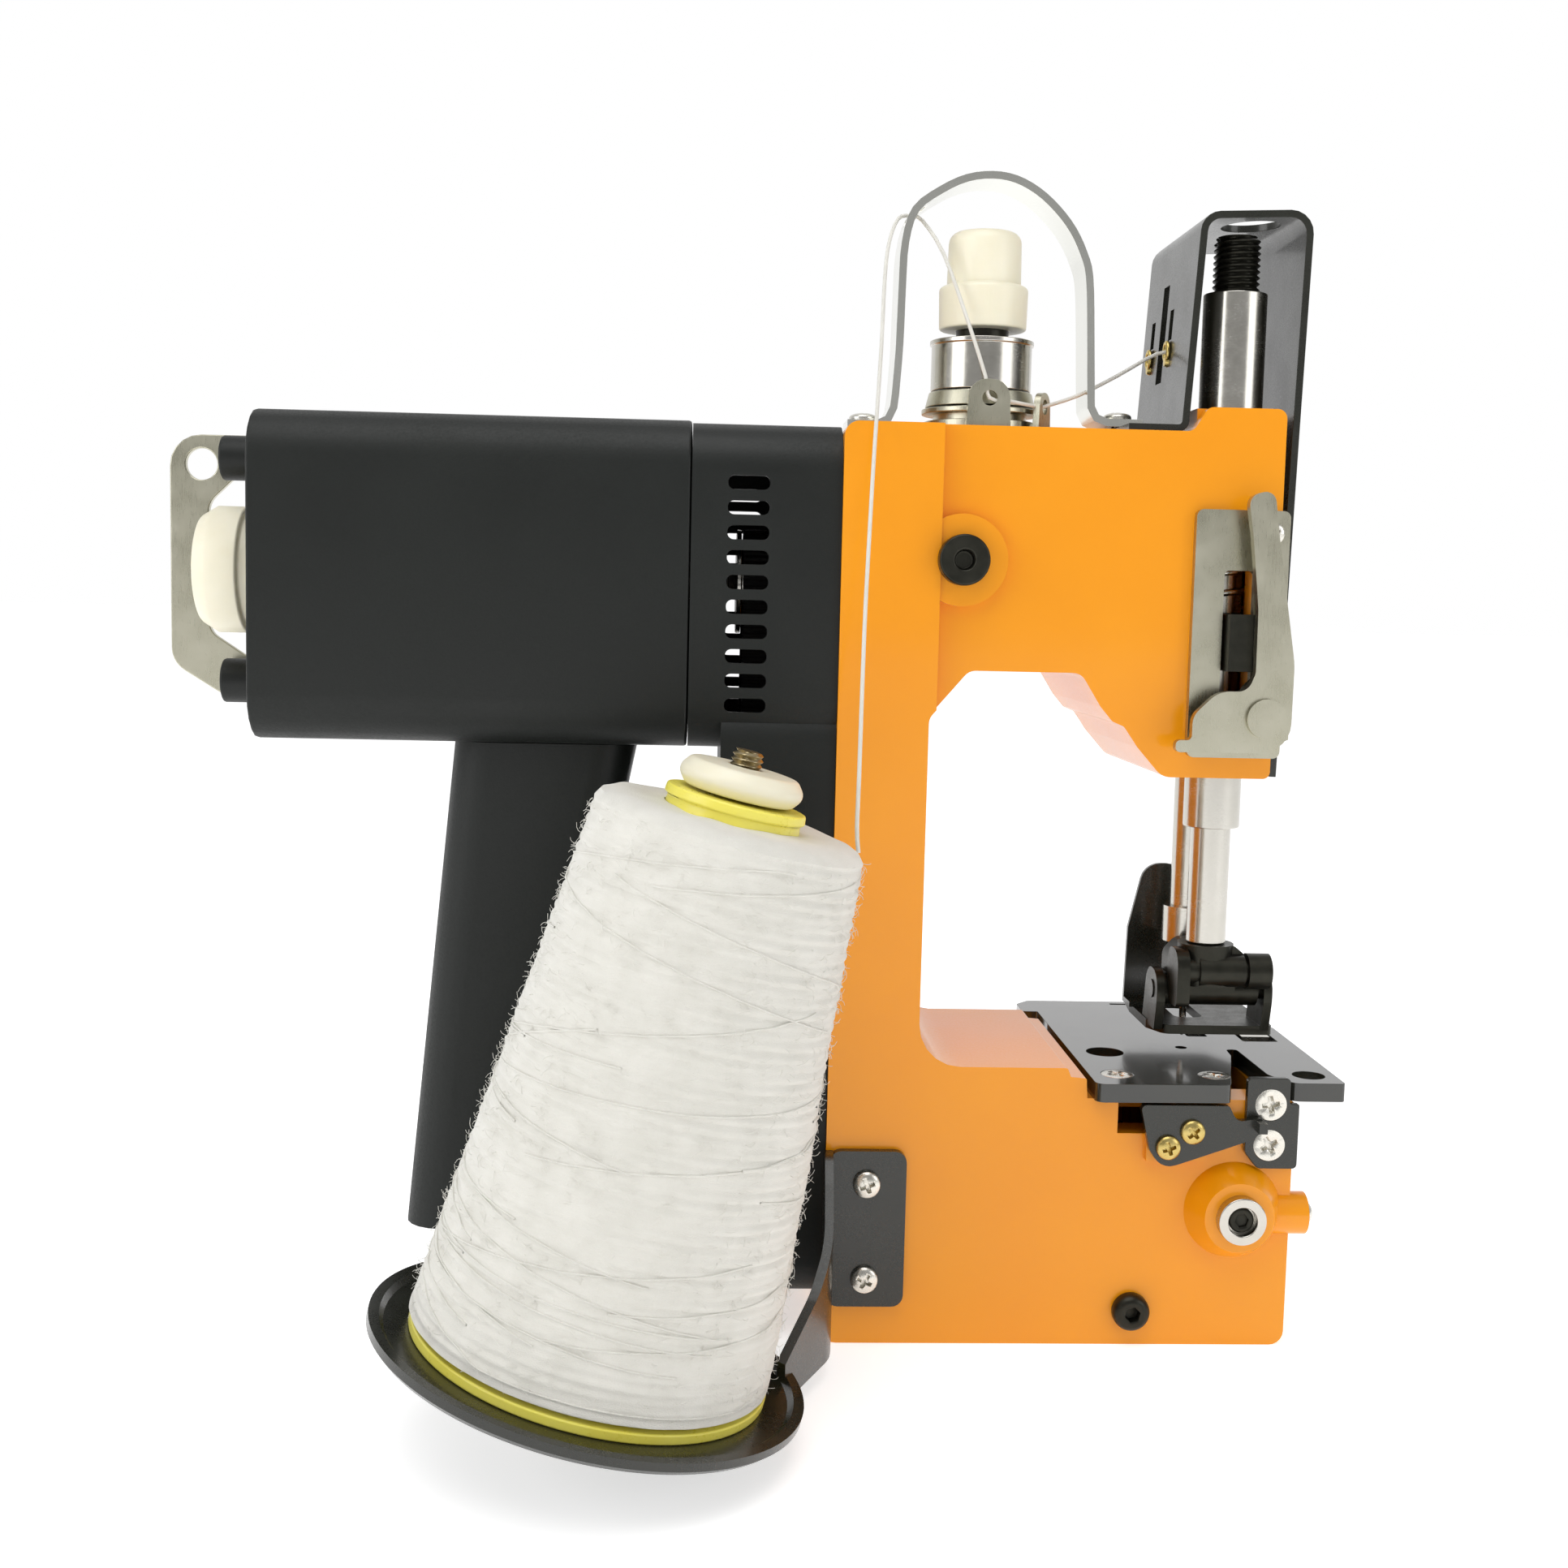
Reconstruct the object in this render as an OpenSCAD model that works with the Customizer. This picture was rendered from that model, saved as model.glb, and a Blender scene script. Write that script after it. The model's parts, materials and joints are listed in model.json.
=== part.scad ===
// Portable single-thread bag closing machine.
// Millimetres. +X towards the needle end, +Y away from the operator's side, +Z up.
// The origin is the middle of the casting's base, on the surface that it stands on.

/* [Casting] */
// Width of the base, left to right
base_w = 100; // [98:1:104]
// Depth of the casting, front face to back edge
depth = 56; // [54:1:60]
// Height of the arm's top face
arm_top = 194.5; // [192:0.5:198]
// Height of the arm's underside
arm_low = 144; // [142:0.5:146]
// Height of the shoulder that carries the throat plate
shoulder = 54; // [53:0.5:55]
// Wall thickness of the casting
casting_t = 5; // [4.5:0.25:5.5]

/* [Motor and covers] */
// Height of the motor axis
motor_z = 161.5; // [160:0.5:163]
// Length of the motor housing
housing_l = 90; // [88:1:92]
// Height of the motor housing
housing_h = 68; // [66:1:69]
// Wall thickness of the black covers
cover_t = 2.5; // [2:0.25:3]
// Number of vent slots in the belt cover
vent_count = 10; // [6:1:11]

/* [Drive] */
// Outside diameter of the motor pulley
small_pulley_d = 18; // [17:0.5:19]
// Outside diameter of the driven pulley
large_pulley_d = 40; // [38:0.5:41]
// Height of the main shaft
main_z = 36; // [35:0.5:37]
// Throw of the eccentric
throw = 3; // [2:0.25:3]

/* [Needle and presser] */
// Distance of the needle and presser bars from the middle of the base
bar_x = 33; // [32.5:0.25:33.5]
// Diameter of the needle bar
needle_bar_d = 8; // [7.5:0.25:8]
// Diameter of the presser bar
presser_bar_d = 8.5; // [8:0.25:8.5]
// Height of the needle lever's pivot
pivot_z = 166.8; // [166:0.2:167]

/* [Spool] */
// Radius of the spool tray
tray_r = 41.5; // [40:0.5:42]
// Length of the thread winding along its axis
wind_l = 102; // [96:1:104]
// Radius of the winding at its foot
wind_foot_r = 34.6; // [33:0.1:35]
// Radius of the winding at its top
wind_top_r = 25.2; // [24:0.1:26]
// Tilt of the spool towards the column
spool_tilt = 13.75; // [12:0.25:15]

/* [Hidden] */
$fn = 48;

left = -base_w / 2;
right = base_w / 2;
front = -depth / 2;
back = depth / 2;
gap = 0.3;               // clearance between neighbouring bodies
run = 0.05;              // radial clearance of a running fit

// Casting
col_in = -31;            // inner face of the column
arm_end = 42;            // end face of the arm
boss_top = arm_top + 5;  // top of the raised boss round the bars
nose_low = 122.5;        // underside of the arm's nose
bed_top = 60.5;          // top of the bed beside the column
face_in = 3;             // how far the arm's face lies behind the column's face
arm_front = front + face_in;
cover_y = back - 3;      // inner face of the rear cover
cav_right = 39.5;        // inner face of the arm's end wall

// Covers
seam_x = -81;
house_l = seam_x - housing_l;
house_low = arm_top - housing_h;
house_y = depth / 2 - 1;
lower_cover_l = -74;
vent_w = 8.6;
vent_h = 2.9;
vent_pitch = 5.07;
vent_x = -69.2;
vent_top = 181.5;

// Drive
main_y = 1;
rod_x = -40.5;
pulley_x = -66;
pulley_w = 8;
belt_t = 2;
shaft_d = 10;
motor_shaft_d = 8;
armature_r = 14.7;

// Needle and presser mechanism
needle_y = 2;
presser_y = front + 14;
pivot_x = -25;
lever_y = 11;
lever_t = 5;
clamp_z = 83;
tip_z = 61;
block_z = 145.2;
sleeve_low = 189.3;
sleeve_top = 224.1;
lift_x = 38;
lift_z = 135.7;
lift_swing = 85;
lift_drop = 4;
cam_e = lift_drop / (2 * sin(lift_swing / 2));
cam_r = 7.2;
foot_z = 64.4;
foot_t = 2;
hinge_z = 74;
hinge_y = -9;
clamp_y = presser_y - 3.4;
clamp_hz = 79.8;
loop_x = 37.5;
loop_z = 30;
loop_y = 9;
plate_t = 4;

hook_screws = [[44.4, 53.4], [44.4, 44.6]];

// Thread path
tens_x = -19.5;
tens_y = -7;
hang_y = 15.2;
strap_y = -13;
strap_w = 12;
strap_t = 1.6;
eyelet_at = [[11, 213.2], [-5, 213.1]];

// Spool
spool_at = [-97.5, -75, 15.5];
tray_t = 1.6;
cone_top_r = 12.4;
post_l = 118.4;
post_d = 6;

// ---- helpers ----
function unit(v) = v / norm(v);
function fillet(a, b, c, r, n) =
  let (p = unit(a - b), q = unit(c - b), h = acos(p * q) / 2, m = b + unit(p + q) * r / sin(h),
       s = b + p * r / tan(h) - m, e = b + q * r / tan(h) - m, t0 = atan2(s[1], s[0]),
       t = (atan2(e[1], e[0]) - t0 + 540) % 360 - 180)
  [for (i = [0 : n]) m + r * [cos(t0 + t * i / n), sin(t0 + t * i / n)]];
function xy(p) = [p[0], p[1]];
function rounded(pts, n = 5) = let (k = len(pts))
  [for (i = [0 : k - 1])
    each (pts[i][2] > 0 ? fillet(xy(pts[(i + k - 1) % k]), xy(pts[i]), xy(pts[(i + 1) % k]), pts[i][2], n)
                        : [xy(pts[i])])];
function box2(x0, y0, x1, y1, r) = rounded([[x0, y0, r], [x1, y0, r], [x1, y1, r], [x0, y1, r]]);
// Open line with rounded corners, turned into a strip of thickness t
function bent(pts, n = 5) = let (k = len(pts))
  [for (i = [0 : k - 1])
    each (i == 0 || i == k - 1 || pts[i][2] == 0 ? [xy(pts[i])]
          : fillet(xy(pts[i - 1]), xy(pts[i]), xy(pts[i + 1]), pts[i][2], n))];
function side(line, i) = let (k = len(line),
    a = i > 0 ? unit(line[i] - line[i - 1]) : unit(line[1] - line[0]),
    b = i < k - 1 ? unit(line[i + 1] - line[i]) : a, m = unit(a + b))
  [-m[1], m[0]] / max(0.6, m * a);
function strip(line, t) = let (k = len(line))
  concat([for (i = [0 : k - 1]) line[i] + side(line, i) * t / 2],
         [for (i = [k - 1 : -1 : 0]) line[i] - side(line, i) * t / 2]);

module slab(y0, y1) translate([0, y1, 0]) rotate([90, 0, 0]) linear_extrude(y1 - y0) children();
module wall(x0, x1) translate([x0, 0, 0]) rotate([90, 0, 90]) linear_extrude(x1 - x0) children();
module plate(z0, z1) translate([0, 0, z0]) linear_extrude(z1 - z0) children();
module rod_x(x0, x1, d, y, z) translate([x0, y, z]) rotate([0, 90, 0]) cylinder(h = x1 - x0, d = d);
module rod_y(y0, y1, d, x, z) translate([x, y1, z]) rotate([90, 0, 0]) cylinder(h = y1 - y0, d = d);
module rod_z(z0, z1, d, x, y) translate([x, y, z0]) cylinder(h = z1 - z0, d = d);
module block(a, b) translate(a) cube(b - a);
// A tube swept along a line of points
module sweep(pts, r, sides = 8) {
  k = len(pts);
  dirs = [for (i = [0 : k - 1]) unit(pts[min(k - 1, i + 1)] - pts[max(0, i - 1)])];
  ref = [0.3, 1, 0.1];
  rings = [for (i = [0 : k - 1]) let (u = unit(cross(ref, dirs[i])), v = cross(dirs[i], u))
    each [for (j = [0 : sides - 1]) let (a = 360 * j / sides) pts[i] + r * (cos(a) * u + sin(a) * v)]];
  skin = [for (i = [0 : k - 2], j = [0 : sides - 1]) let (n = (j + 1) % sides)
    each [[i * sides + j, i * sides + n, (i + 1) * sides + n],
          [i * sides + j, (i + 1) * sides + n, (i + 1) * sides + j]]];
  ends = [[for (j = [sides - 1 : -1 : 0]) j], [for (j = [0 : sides - 1]) (k - 1) * sides + j]];
  polyhedron(rings, concat([for (f = skin) [f[2], f[1], f[0]]], [for (e = ends) [for (i = [len(e) - 1 : -1 : 0]) e[i]]]));
}
// Smooth line through hand-set points
function spline(p, n) = let (k = len(p))
  [for (i = [0 : k - 2], s = [0 : n - 1]) let (t = s / n, a = p[max(0, i - 1)], b = p[i], c = p[i + 1],
      d = p[min(k - 1, i + 2)])
    b + t * (c - a) / 2 + t * t * (2 * a - 5 * b + 4 * c - d) / 2 + t * t * t * (3 * b - a - 3 * c + d) / 2];
// Screw with a round head, head towards -Y
module screw_y(x, z, y, head_d, head_h, shank_d, shank_l) {
  rod_y(y - head_h, y, head_d, x, z);
  rod_y(y - 0.01, y + shank_l, shank_d, x, z);
}
module screw_z(x, y, z, head_d, head_h, shank_d, shank_l) {
  rod_z(z, z + head_h, head_d, x, y);
  rod_z(z - shank_l, z + 0.01, shank_d, x, y);
}

// ---- casting ----
module casting_outline() {
  polygon(rounded(concat(
    [[left, 0, 3], [right, 0, 3], [right, shoulder, 1], [5.3, shoulder, 0], [5, 58.3, 0.4], [1.6, 58.6, 0.4], [0.9, bed_top, 0.6],
     [col_in, bed_top, 9], [col_in, 134, 3], [-22.5, arm_low, 3]],
    [[1, arm_low, 3], [5.4, 137, 2], [8, 134, 1.5], [10.5, 133, 1.5], [13.5, 128.7, 3], [19, nose_low, 4]],
    [[arm_end, nose_low, 1.5], [arm_end, boss_top, 2], [25.5, boss_top, 2], [22.5, arm_top, 2],
     [left, arm_top, 3]])));
}
module cavity_outline(t) {
  polygon([[left + t, t], [right - t, t], [right - t, shoulder - t], [col_in - t, shoulder - t],
           [col_in - t, arm_low + t], [22, arm_low + t], [22, nose_low + t], [cav_right, nose_low + t],
           [cav_right, arm_top - t], [left + t, arm_top - t]]);
}
module frame_casting() color("darkorange") difference() {
  union() {
    difference() {
      slab(front, back) casting_outline();
      // the arm's face lies a step behind the column's face
      block([col_in + 1.5, front - 1, 100], [arm_end + 1, arm_front, 210]);
      slab(front + casting_t + face_in, back + 1) cavity_outline(casting_t);
    }
    // rim round the lever pivot, looper boss and its clamp boss
    rod_y(front + 0.6, -10, 19, pivot_x, pivot_z);
    translate([loop_x, front + 0.01, loop_z]) rotate([90, 0, 0]) cylinder(h = 6, r1 = 10.5, r2 = 7.5);
    rod_y(front + 1, -8, 16, loop_x, loop_z);
    rod_x(loop_x, 53.5, 9, front + 1.5, loop_z - 1);
    // guides of the bars, and the post of the right-hand bearing
    block([bar_x - 9, presser_y - 7.5, nose_low], [cav_right + 1, needle_y + 7, nose_low + 8]);
    block([bar_x - 9, presser_y - 7.5, arm_top - 8], [cav_right + 1, needle_y + 7, boss_top]);
    block([5, main_y - 10, casting_t - 1], [13, cover_y, main_z + 9]);
    // pad under the thread cutter
    block([18, front - 1.7, 41], [31, front + 1, 53]);
  }
  rod_y(front - 5, 20, 8.2, pivot_x, pivot_z);
  rod_y(front - 8, 0, 10.2, loop_x, loop_z);
  rod_x(loop_x + 6, 60, 3.2, front + 1.5, loop_z - 1);
  rod_z(nose_low - 1, nose_low + 9, 11, bar_x, needle_y);
  rod_z(nose_low - 1, nose_low + 9, 12, bar_x, presser_y);
  rod_z(arm_top - 9, boss_top + 1, 11, bar_x, needle_y);
  rod_z(arm_top - 9, boss_top + 1, 13.4, bar_x, presser_y);
  rod_x(left - 1, left + casting_t + 1, 16, main_y, main_z);
  rod_x(4, 14, 16, main_y, main_z);
  // slot for the lift block, window for the looper and the opening under the throat plate
  block([bar_x - 3.2, front - 1, 136], [bar_x + 3.2, presser_y + 2, 166.5]);
  block([12, front - 1, 46.5], [24, front + 12, shoulder + 1]);
  block([20, -19, shoulder - casting_t - 1], [45, back - 3.2, shoulder + 1]);
  block([44, 8.5, 46], [51, 25, 55]);
  // recess of the rear cover
  slab(cover_y, back + 1) polygon(box2(left + 2, 2, right - 2, shoulder - 2.2, 1));
  slab(cover_y, back + 1) polygon(box2(left + 2, 2, col_in - 2, arm_top - 2, 1));
  slab(cover_y, back + 1) polygon(box2(left + 2, arm_low + 2, arm_end - 2, arm_top - 2, 1));
  slab(cover_y, back + 1) polygon(box2(22, nose_low + 2, arm_end - 2, arm_top - 2, 1));
  // plain holes for the lower screw and the tray screws
  rod_y(front - 1, front + casting_t + 4, 5, 16.3, 7.6);
  for (z = [35.6, 14.9]) rod_y(front - 1, front + casting_t + 4, 3.2, -41.4, z);
  rod_z(arm_top - 7, arm_top + 1, 5, tens_x, tens_y);
}
module rear_cover() color("darkorange") slab(cover_y + 0.05, back) union() {
  polygon(box2(left + 2.2, 2.2, right - 2.2, shoulder - 2.4, 1));
  polygon(box2(left + 2.2, 2.2, col_in - 2.2, arm_top - 2.2, 1));
  polygon(box2(left + 2.2, arm_low + 2.2, arm_end - 2.2, arm_top - 2.2, 1));
  polygon(box2(22.2, nose_low + 2.2, arm_end - 2.2, arm_top - 2.2, 1));
}

// ---- fasteners ----
module socket_screw(x, z, y, d) difference() {
  screw_y(x, z, y, d, 3, d / 1.8, casting_t);
  rod_y(y - 4, y - 1, d / 3, x, z);
}
module cap_screws() color("#222") {
  socket_screw(16.3, 7.6, front, 8);
  for (p = [[-40, 8], [40, 8], [-40, 185], [30, 185]])
    mirror([0, 1, 0]) rod_y(-back - 2.5, -back, 6, p[0], p[1]);
  for (z = [187.6, 138]) rod_y(hang_y + 2, hang_y + 4, 5.6, -178, z);
}
module pan_screws() color("silver") {
  for (z = [35.6, 14.9]) screw_y(-41.4, z, front - 2, 5.8, 1.8, 3, casting_t);
  screw_z(-44.6, strap_y + strap_w / 2, arm_top + strap_t, 6, 1.8, 3, 3);
  screw_z(10.4, strap_y + strap_w / 2, arm_top + 3.2, 6, 1.8, 3, 3.4);
  screw_y(39.6, 173.8, arm_front - 2, 4.6, 0.9, 2.5, 1.9);
}
module flat_screws() color("silver") {
  for (x = [12.7, 33.8]) translate([x, -22.7, shoulder + plate_t - 2]) cylinder(h = 2, r1 = 1.7, r2 = 3.5);
  for (p = hook_screws) translate([p[0], front - 0.1, p[1]]) rotate([90, 0, 0]) cylinder(h = 1.5, r1 = 1.7, r2 = 3.3);
}
module cutter_screws() color("goldenrod") {
  for (p = [[22.1, 44.6], [27.2, 48]]) rod_y(front - 5.1, front - 3.5, 5.2, p[0], p[1]);
}

// ---- covers ----
module cover_ring(y, z0, z1, r) { polygon(box2(-y, z0, y, z1, r)); }
module vents() for (i = [0 : vent_count - 1])
  slab(-40, 40) polygon(box2(vent_x - vent_w / 2, vent_top - i * vent_pitch - vent_h / 2,
                             vent_x + vent_w / 2, vent_top - i * vent_pitch + vent_h / 2, 1.3));
module belt_cover() color("#26282a") difference() {
  union() {
    wall(seam_x + 0.1, left - 0.05) cover_ring(house_y, house_low, arm_top - 0.5, 10);
    wall(lower_cover_l, left - 0.05) cover_ring(house_y, 9, house_low + 10, 8);
  }
  wall(seam_x + cover_t, left) cover_ring(house_y - cover_t, house_low + cover_t, arm_top - 0.5 - cover_t, 7.5);
  wall(lower_cover_l + cover_t, left) cover_ring(house_y - cover_t, 9 + cover_t, house_low + 12, 5.5);
  vents();
  rod_x(seam_x - 1, seam_x + 5, 24, 0, motor_z);
}
module housing_half(s) difference() {
  wall(house_l, seam_x - 0.1) cover_ring(house_y, house_low, arm_top, 10);
  wall(house_l + cover_t, seam_x + 1) cover_ring(house_y - cover_t, house_low + cover_t, arm_top - cover_t, 7.5);
  if (s < 0) block([house_l - 1, 0, 100], [seam_x + 1, 40, 210]);
  if (s > 0) block([house_l - 1, -40, 100], [seam_x + 1, 0.05, 210]);
  rod_x(house_l - 1, house_l + 4, 25, 0, motor_z);
  block([-121, -8, house_low - 1], [-105, 8, house_low + 4]);
}
module housing_front() color("#26282a") housing_half(-1);
module housing_rear() color("#26282a") union() {
  housing_half(1);
  for (z = [186, 137]) rod_x(-184.5, house_l + 0.5, 9.8, hang_y - 5, z);
}
// Pistol grip: a tapering rounded bar that leans back
module grip(t, z0, z1) hull() {
  translate([0, 0, z1]) linear_extrude(0.1) polygon(box2(-131 + t, -16 + t, -92 - t, 16 - t, 9 - t, $fn = 32));
  translate([0, 0, z0]) linear_extrude(0.1) polygon(box2(-141 + t, -14 + t, -113 - t, 14 - t, 8 - t, $fn = 32));
}
module handle_half(s) difference() {
  grip(0, 19.5, house_low - 0.3);
  grip(2.6, 22.5, house_low + 1);
  if (s < 0) block([-160, 0, 0], [-80, 40, 130]);
  if (s > 0) block([-160, -40, 0], [-80, 0.05, 130]);
  block([-108, -6, 86], [-80, 6, 116]);
  rod_z(15, 30, 10, -127, 0);
}
module handle_front() color("#26282a") handle_half(-1);
module handle_rear() color("#26282a") handle_half(1);
module trigger() color("#333") union() {
  slab(-5.5, 5.5) polygon(rounded([[-100.5, 88, 0], [-88, 90, 3], [-91, 101, 6], [-86, 113, 3], [-97.5, 114, 0]]));
  block([-101, -4, 92], [-97, 4, 112]);
}
module switch_body() color("dimgray") block([-116, -8, 84], [-105.5, 8, 112]);
module inlet_gland() color("#333") difference() {
  union() {
    rod_z(14, 29.7, 9.8, -127, 0);
    rod_z(12, 19.3, 13, -127, 0);
  }
  rod_z(11, 30, 5.5, -127, 0);
}

// ---- motor ----
module stator() color("gray") difference() {
  union() {
    rod_x(-150, -115, 47, 0, motor_z);
    for (a = [0, 180]) translate([0, 0, motor_z]) rotate([a, 0, 0]) translate([0, 0, -motor_z])
      block([-155, -12, motor_z + 16], [-110, 12, motor_z + 22]);
  }
  rod_x(-160, -100, 2 * (armature_r + 0.6), 0, motor_z);
}
module armature() color("silver") union() {
  rod_x(-186, -60, motor_shaft_d, 0, motor_z);
  rod_x(-149, -116, 2 * armature_r, 0, motor_z);
  rod_x(-108, -98, 20, 0, motor_z);
}
module fan() color("#555") difference() {
  union() {
    rod_x(-94, -92, 42, 0, motor_z);
    rod_x(-94, -87, 14, 0, motor_z);
    for (i = [0 : 11]) translate([0, 0, motor_z]) rotate([30 * i, 0, 0]) block([-92.1, 8, -0.6], [-87, 20, 0.6]);
  }
  rod_x(-95, -80, motor_shaft_d - 0.02, 0, motor_z);
}
module flanged_pulley(d, y, z, bore) difference() {
  union() {
    rod_x(pulley_x - pulley_w / 2, pulley_x + pulley_w / 2, d, y, z);
    for (x = [pulley_x - pulley_w / 2 - 1, pulley_x + pulley_w / 2]) rod_x(x, x + 1, d + 4.5, y, z);
  }
  rod_x(pulley_x - 20, pulley_x + 20, bore, y, z);
}
module motor_pulley() color("gray") flanged_pulley(small_pulley_d, 0, motor_z, motor_shaft_d - 0.02);
module driven_pulley() color("#333") flanged_pulley(large_pulley_d, main_y, main_z, shaft_d - 0.02);
module hand_wheel() color("ivory") difference() {
  translate([0, 0, motor_z]) rotate([0, 90, 0]) rotate_extrude()
    polygon([[0, -173], [12, -173], [12, -176.3], [13.6, -176.3], [13.6, -182.6], [11.5, -186], [0, -186.6]]);
  rod_x(-187, -160, motor_shaft_d - 0.02, 0, motor_z);
}
module carbon_brushes() color("#444") for (s = [-1, 1]) {
  block([-106, s > 0 ? 10.5 : -21, motor_z - 3], [-100, s > 0 ? 21 : -10.5, motor_z + 3]);
}
module bearing_frames() color("lightgray") for (x = [-165, -86]) difference() {
  union() {
    rod_x(x, x + 4.5, 24, 0, motor_z);
    block([x, -24.2, motor_z - 5], [x + 4.5, 24.2, motor_z + 5]);
  }
  rod_x(x - 1, x + 6, motor_shaft_d + 2 * run, 0, motor_z);
}
module belt_loop(t) hull() {
  rod_x(pulley_x - 3.6, pulley_x + 3.6, small_pulley_d + 2 * gap + t, 0, motor_z, $fn = 32);
  rod_x(pulley_x - 3.6, pulley_x + 3.6, large_pulley_d + 2 * gap + t, main_y, main_z, $fn = 32);
}
module drive_belt() color("#111") difference() {
  belt_loop(2 * belt_t);
  scale([1.5, 1, 1]) translate([-pulley_x + pulley_x / 1.5, 0, 0]) belt_loop(0);
}

// ---- main shaft and needle drive ----
module main_shaft() color("silver") union() {
  rod_x(-71.2, 20, shaft_d, main_y, main_z);
  rod_x(rod_x - 3.5, rod_x + 3.5, 2 * (shaft_d / 2 + throw + 1), main_y + throw, main_z);
}
module tube_x(x0, x1, do, di, y, z) difference() {
  rod_x(x0, x1, do, y, z);
  rod_x(x0 - 1, x1 + 1, di, y, z);
}
module tube_z(z0, z1, do, di, x, y) difference() {
  rod_z(z0, z1, do, x, y);
  rod_z(z0 - 1, z1 + 1, di, x, y);
}
module plain_bushes() color("silver") {
  tube_x(left - 1.5, left + casting_t, 16, shaft_d + 2 * run, main_y, main_z);
  tube_x(4, 14, 16, shaft_d + 2 * run, main_y, main_z);
  tube_z(nose_low, nose_low + 8, 11, needle_bar_d + 2 * run, bar_x, needle_y);
  tube_z(arm_top - 8, boss_top, 11, needle_bar_d + 2 * run, bar_x, needle_y);
  tube_z(111, nose_low + 8, 12, presser_bar_d + 2 * run, bar_x, presser_y);
  difference() {
    rod_y(front - 8.5, -1, 10.2, loop_x, loop_z);
    rod_y(front - 9, 0, 6.1, loop_x, loop_z);
  }
}
module connecting_rod() color("lightgray") union() {
  wall(rod_x - 2.5, rod_x + 2.5) difference() {
    polygon(rounded([[main_y - 18, main_z - 21, 14], [main_y + 13.6, main_z - 21, 10],
                     [main_y + 13.6, main_z + 21, 10], [main_y - 18, main_z + 21, 14]]));
    polygon(rounded([[main_y - 13.8, main_z - 17, 11], [main_y + 12.6, main_z - 17, 8],
                     [main_y + 12.6, main_z + 17, 8], [main_y - 13.8, main_z + 17, 11]]));
  }
  block([rod_x - 2.5, lever_y - 11, main_z + 20], [rod_x + 2.5, lever_y - 5, pivot_z + 6]);
  rod_y(lever_y - 6, lever_y + 4, 5, rod_x, pivot_z);
}
module needle_lever() color("gray") slab(lever_y - lever_t / 2 - 1, lever_y + lever_t / 2 - 1) difference() {
  polygon(rounded([[rod_x - 3.5, pivot_z - 5.5, 2], [pivot_x, pivot_z - 9, 6], [bar_x + 4.5, pivot_z - 5.2, 1],
                   [bar_x + 4.5, pivot_z - 2.8, 0.5], [bar_x - 5, pivot_z - 2.8, 1],
                   [bar_x - 5, pivot_z + 2.8, 1], [bar_x + 4.5, pivot_z + 2.8, 0.5],
                   [bar_x + 4.5, pivot_z + 5.2, 1], [pivot_x, pivot_z + 9, 6], [rod_x - 3.5, pivot_z + 5.5, 2]]));
  translate([pivot_x, pivot_z]) circle(d = 8 + 2 * run);
  translate([rod_x - 1, pivot_z]) square([8, 5.8], center = true);
}
module lever_pivot_screw() color("#222") difference() {
  union() {
    rod_y(front - 3.4, front + 0.6, 10.5, pivot_x, pivot_z);
    rod_y(front + 0.5, 19.5, 8, pivot_x, pivot_z);
  }
  rod_y(front - 5, front - 1, 4, pivot_x, pivot_z);
}
module needle_bar() color("silver") union() {
  rod_z(clamp_z + 2, boss_top - 3, needle_bar_d, bar_x, needle_y);
  rod_z(clamp_z, clamp_z + 8, 11, bar_x, needle_y);
  rod_z(pivot_z - 6, pivot_z + 6, 10.6, bar_x, needle_y);
  rod_y(needle_y, lever_y + 1.6, 5, bar_x, pivot_z);
  rod_y(needle_y + 5, needle_y + 7.5, 4, bar_x, clamp_z + 4);
}
module needle() color("silver") union() {
  rod_z(tip_z + 3, clamp_z, 1.6, bar_x, needle_y);
  translate([bar_x, needle_y, tip_z]) cylinder(h = 3, r1 = 0.3, r2 = 0.8);
}

// ---- presser ----
module presser_bar() color("silver") rod_z(85.5, sleeve_low + 18, presser_bar_d, bar_x, presser_y);
module presser_spring() color("gray") {
  turns = 7;
  z0 = block_z + 12.3;
  pts = [for (i = [0 : turns * 12]) [bar_x + 5 * cos(30 * i), presser_y + 5 * sin(30 * i),
                                     z0 + 0.8 + (sleeve_low - z0 - 2) * i / (turns * 12)]];
  sweep(pts, 0.7, 6);
}
module spring_sleeve() color("silver") tube_z(sleeve_low, sleeve_top, 13.3, 9.7, bar_x, presser_y);
module pressure_screw() color("#222") difference() {
  union() {
    rod_z(209, 235.8, 9.4, bar_x, presser_y);
    for (i = [0 : 7]) rod_z(sleeve_top + 0.8 + 1.3 * i, sleeve_top + 1.3 + 1.3 * i, 10, bar_x, presser_y);
  }
  block([bar_x - 6, presser_y - 0.7, 234], [bar_x + 6, presser_y + 0.7, 240]);
}
module lift_block() color("#222") difference() {
  union() {
    rod_z(block_z, block_z + 12, 11.6, bar_x, presser_y);
    block([bar_x - 2.6, arm_front - 5.5, block_z], [bar_x + 2.6, presser_y - 4, block_z + 11.8]);
    block([bar_x - 2.6, arm_front - 5.5, block_z], [43.8, arm_front - 2.3, block_z + 3]);
  }
  rod_z(block_z - 1, block_z + 13, presser_bar_d - 0.02, bar_x, presser_y);
}
module lifter_plate() color("silver") union() {
  slab(arm_front - 2, arm_front) difference() {
    polygon(box2(23.5, 127, 43.2, 178.5, 1.5));
    polygon(box2(bar_x - 3.2, 136, bar_x + 3.2, 166, 1));
    translate([39.6, 173.8]) circle(d = 2.6);
  }
  rod_y(arm_front - 8.5, arm_front - 1, 5, lift_x, lift_z);
  rod_y(arm_front - 9.3, arm_front - 8.3, 8.2, lift_x, lift_z);
}
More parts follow.
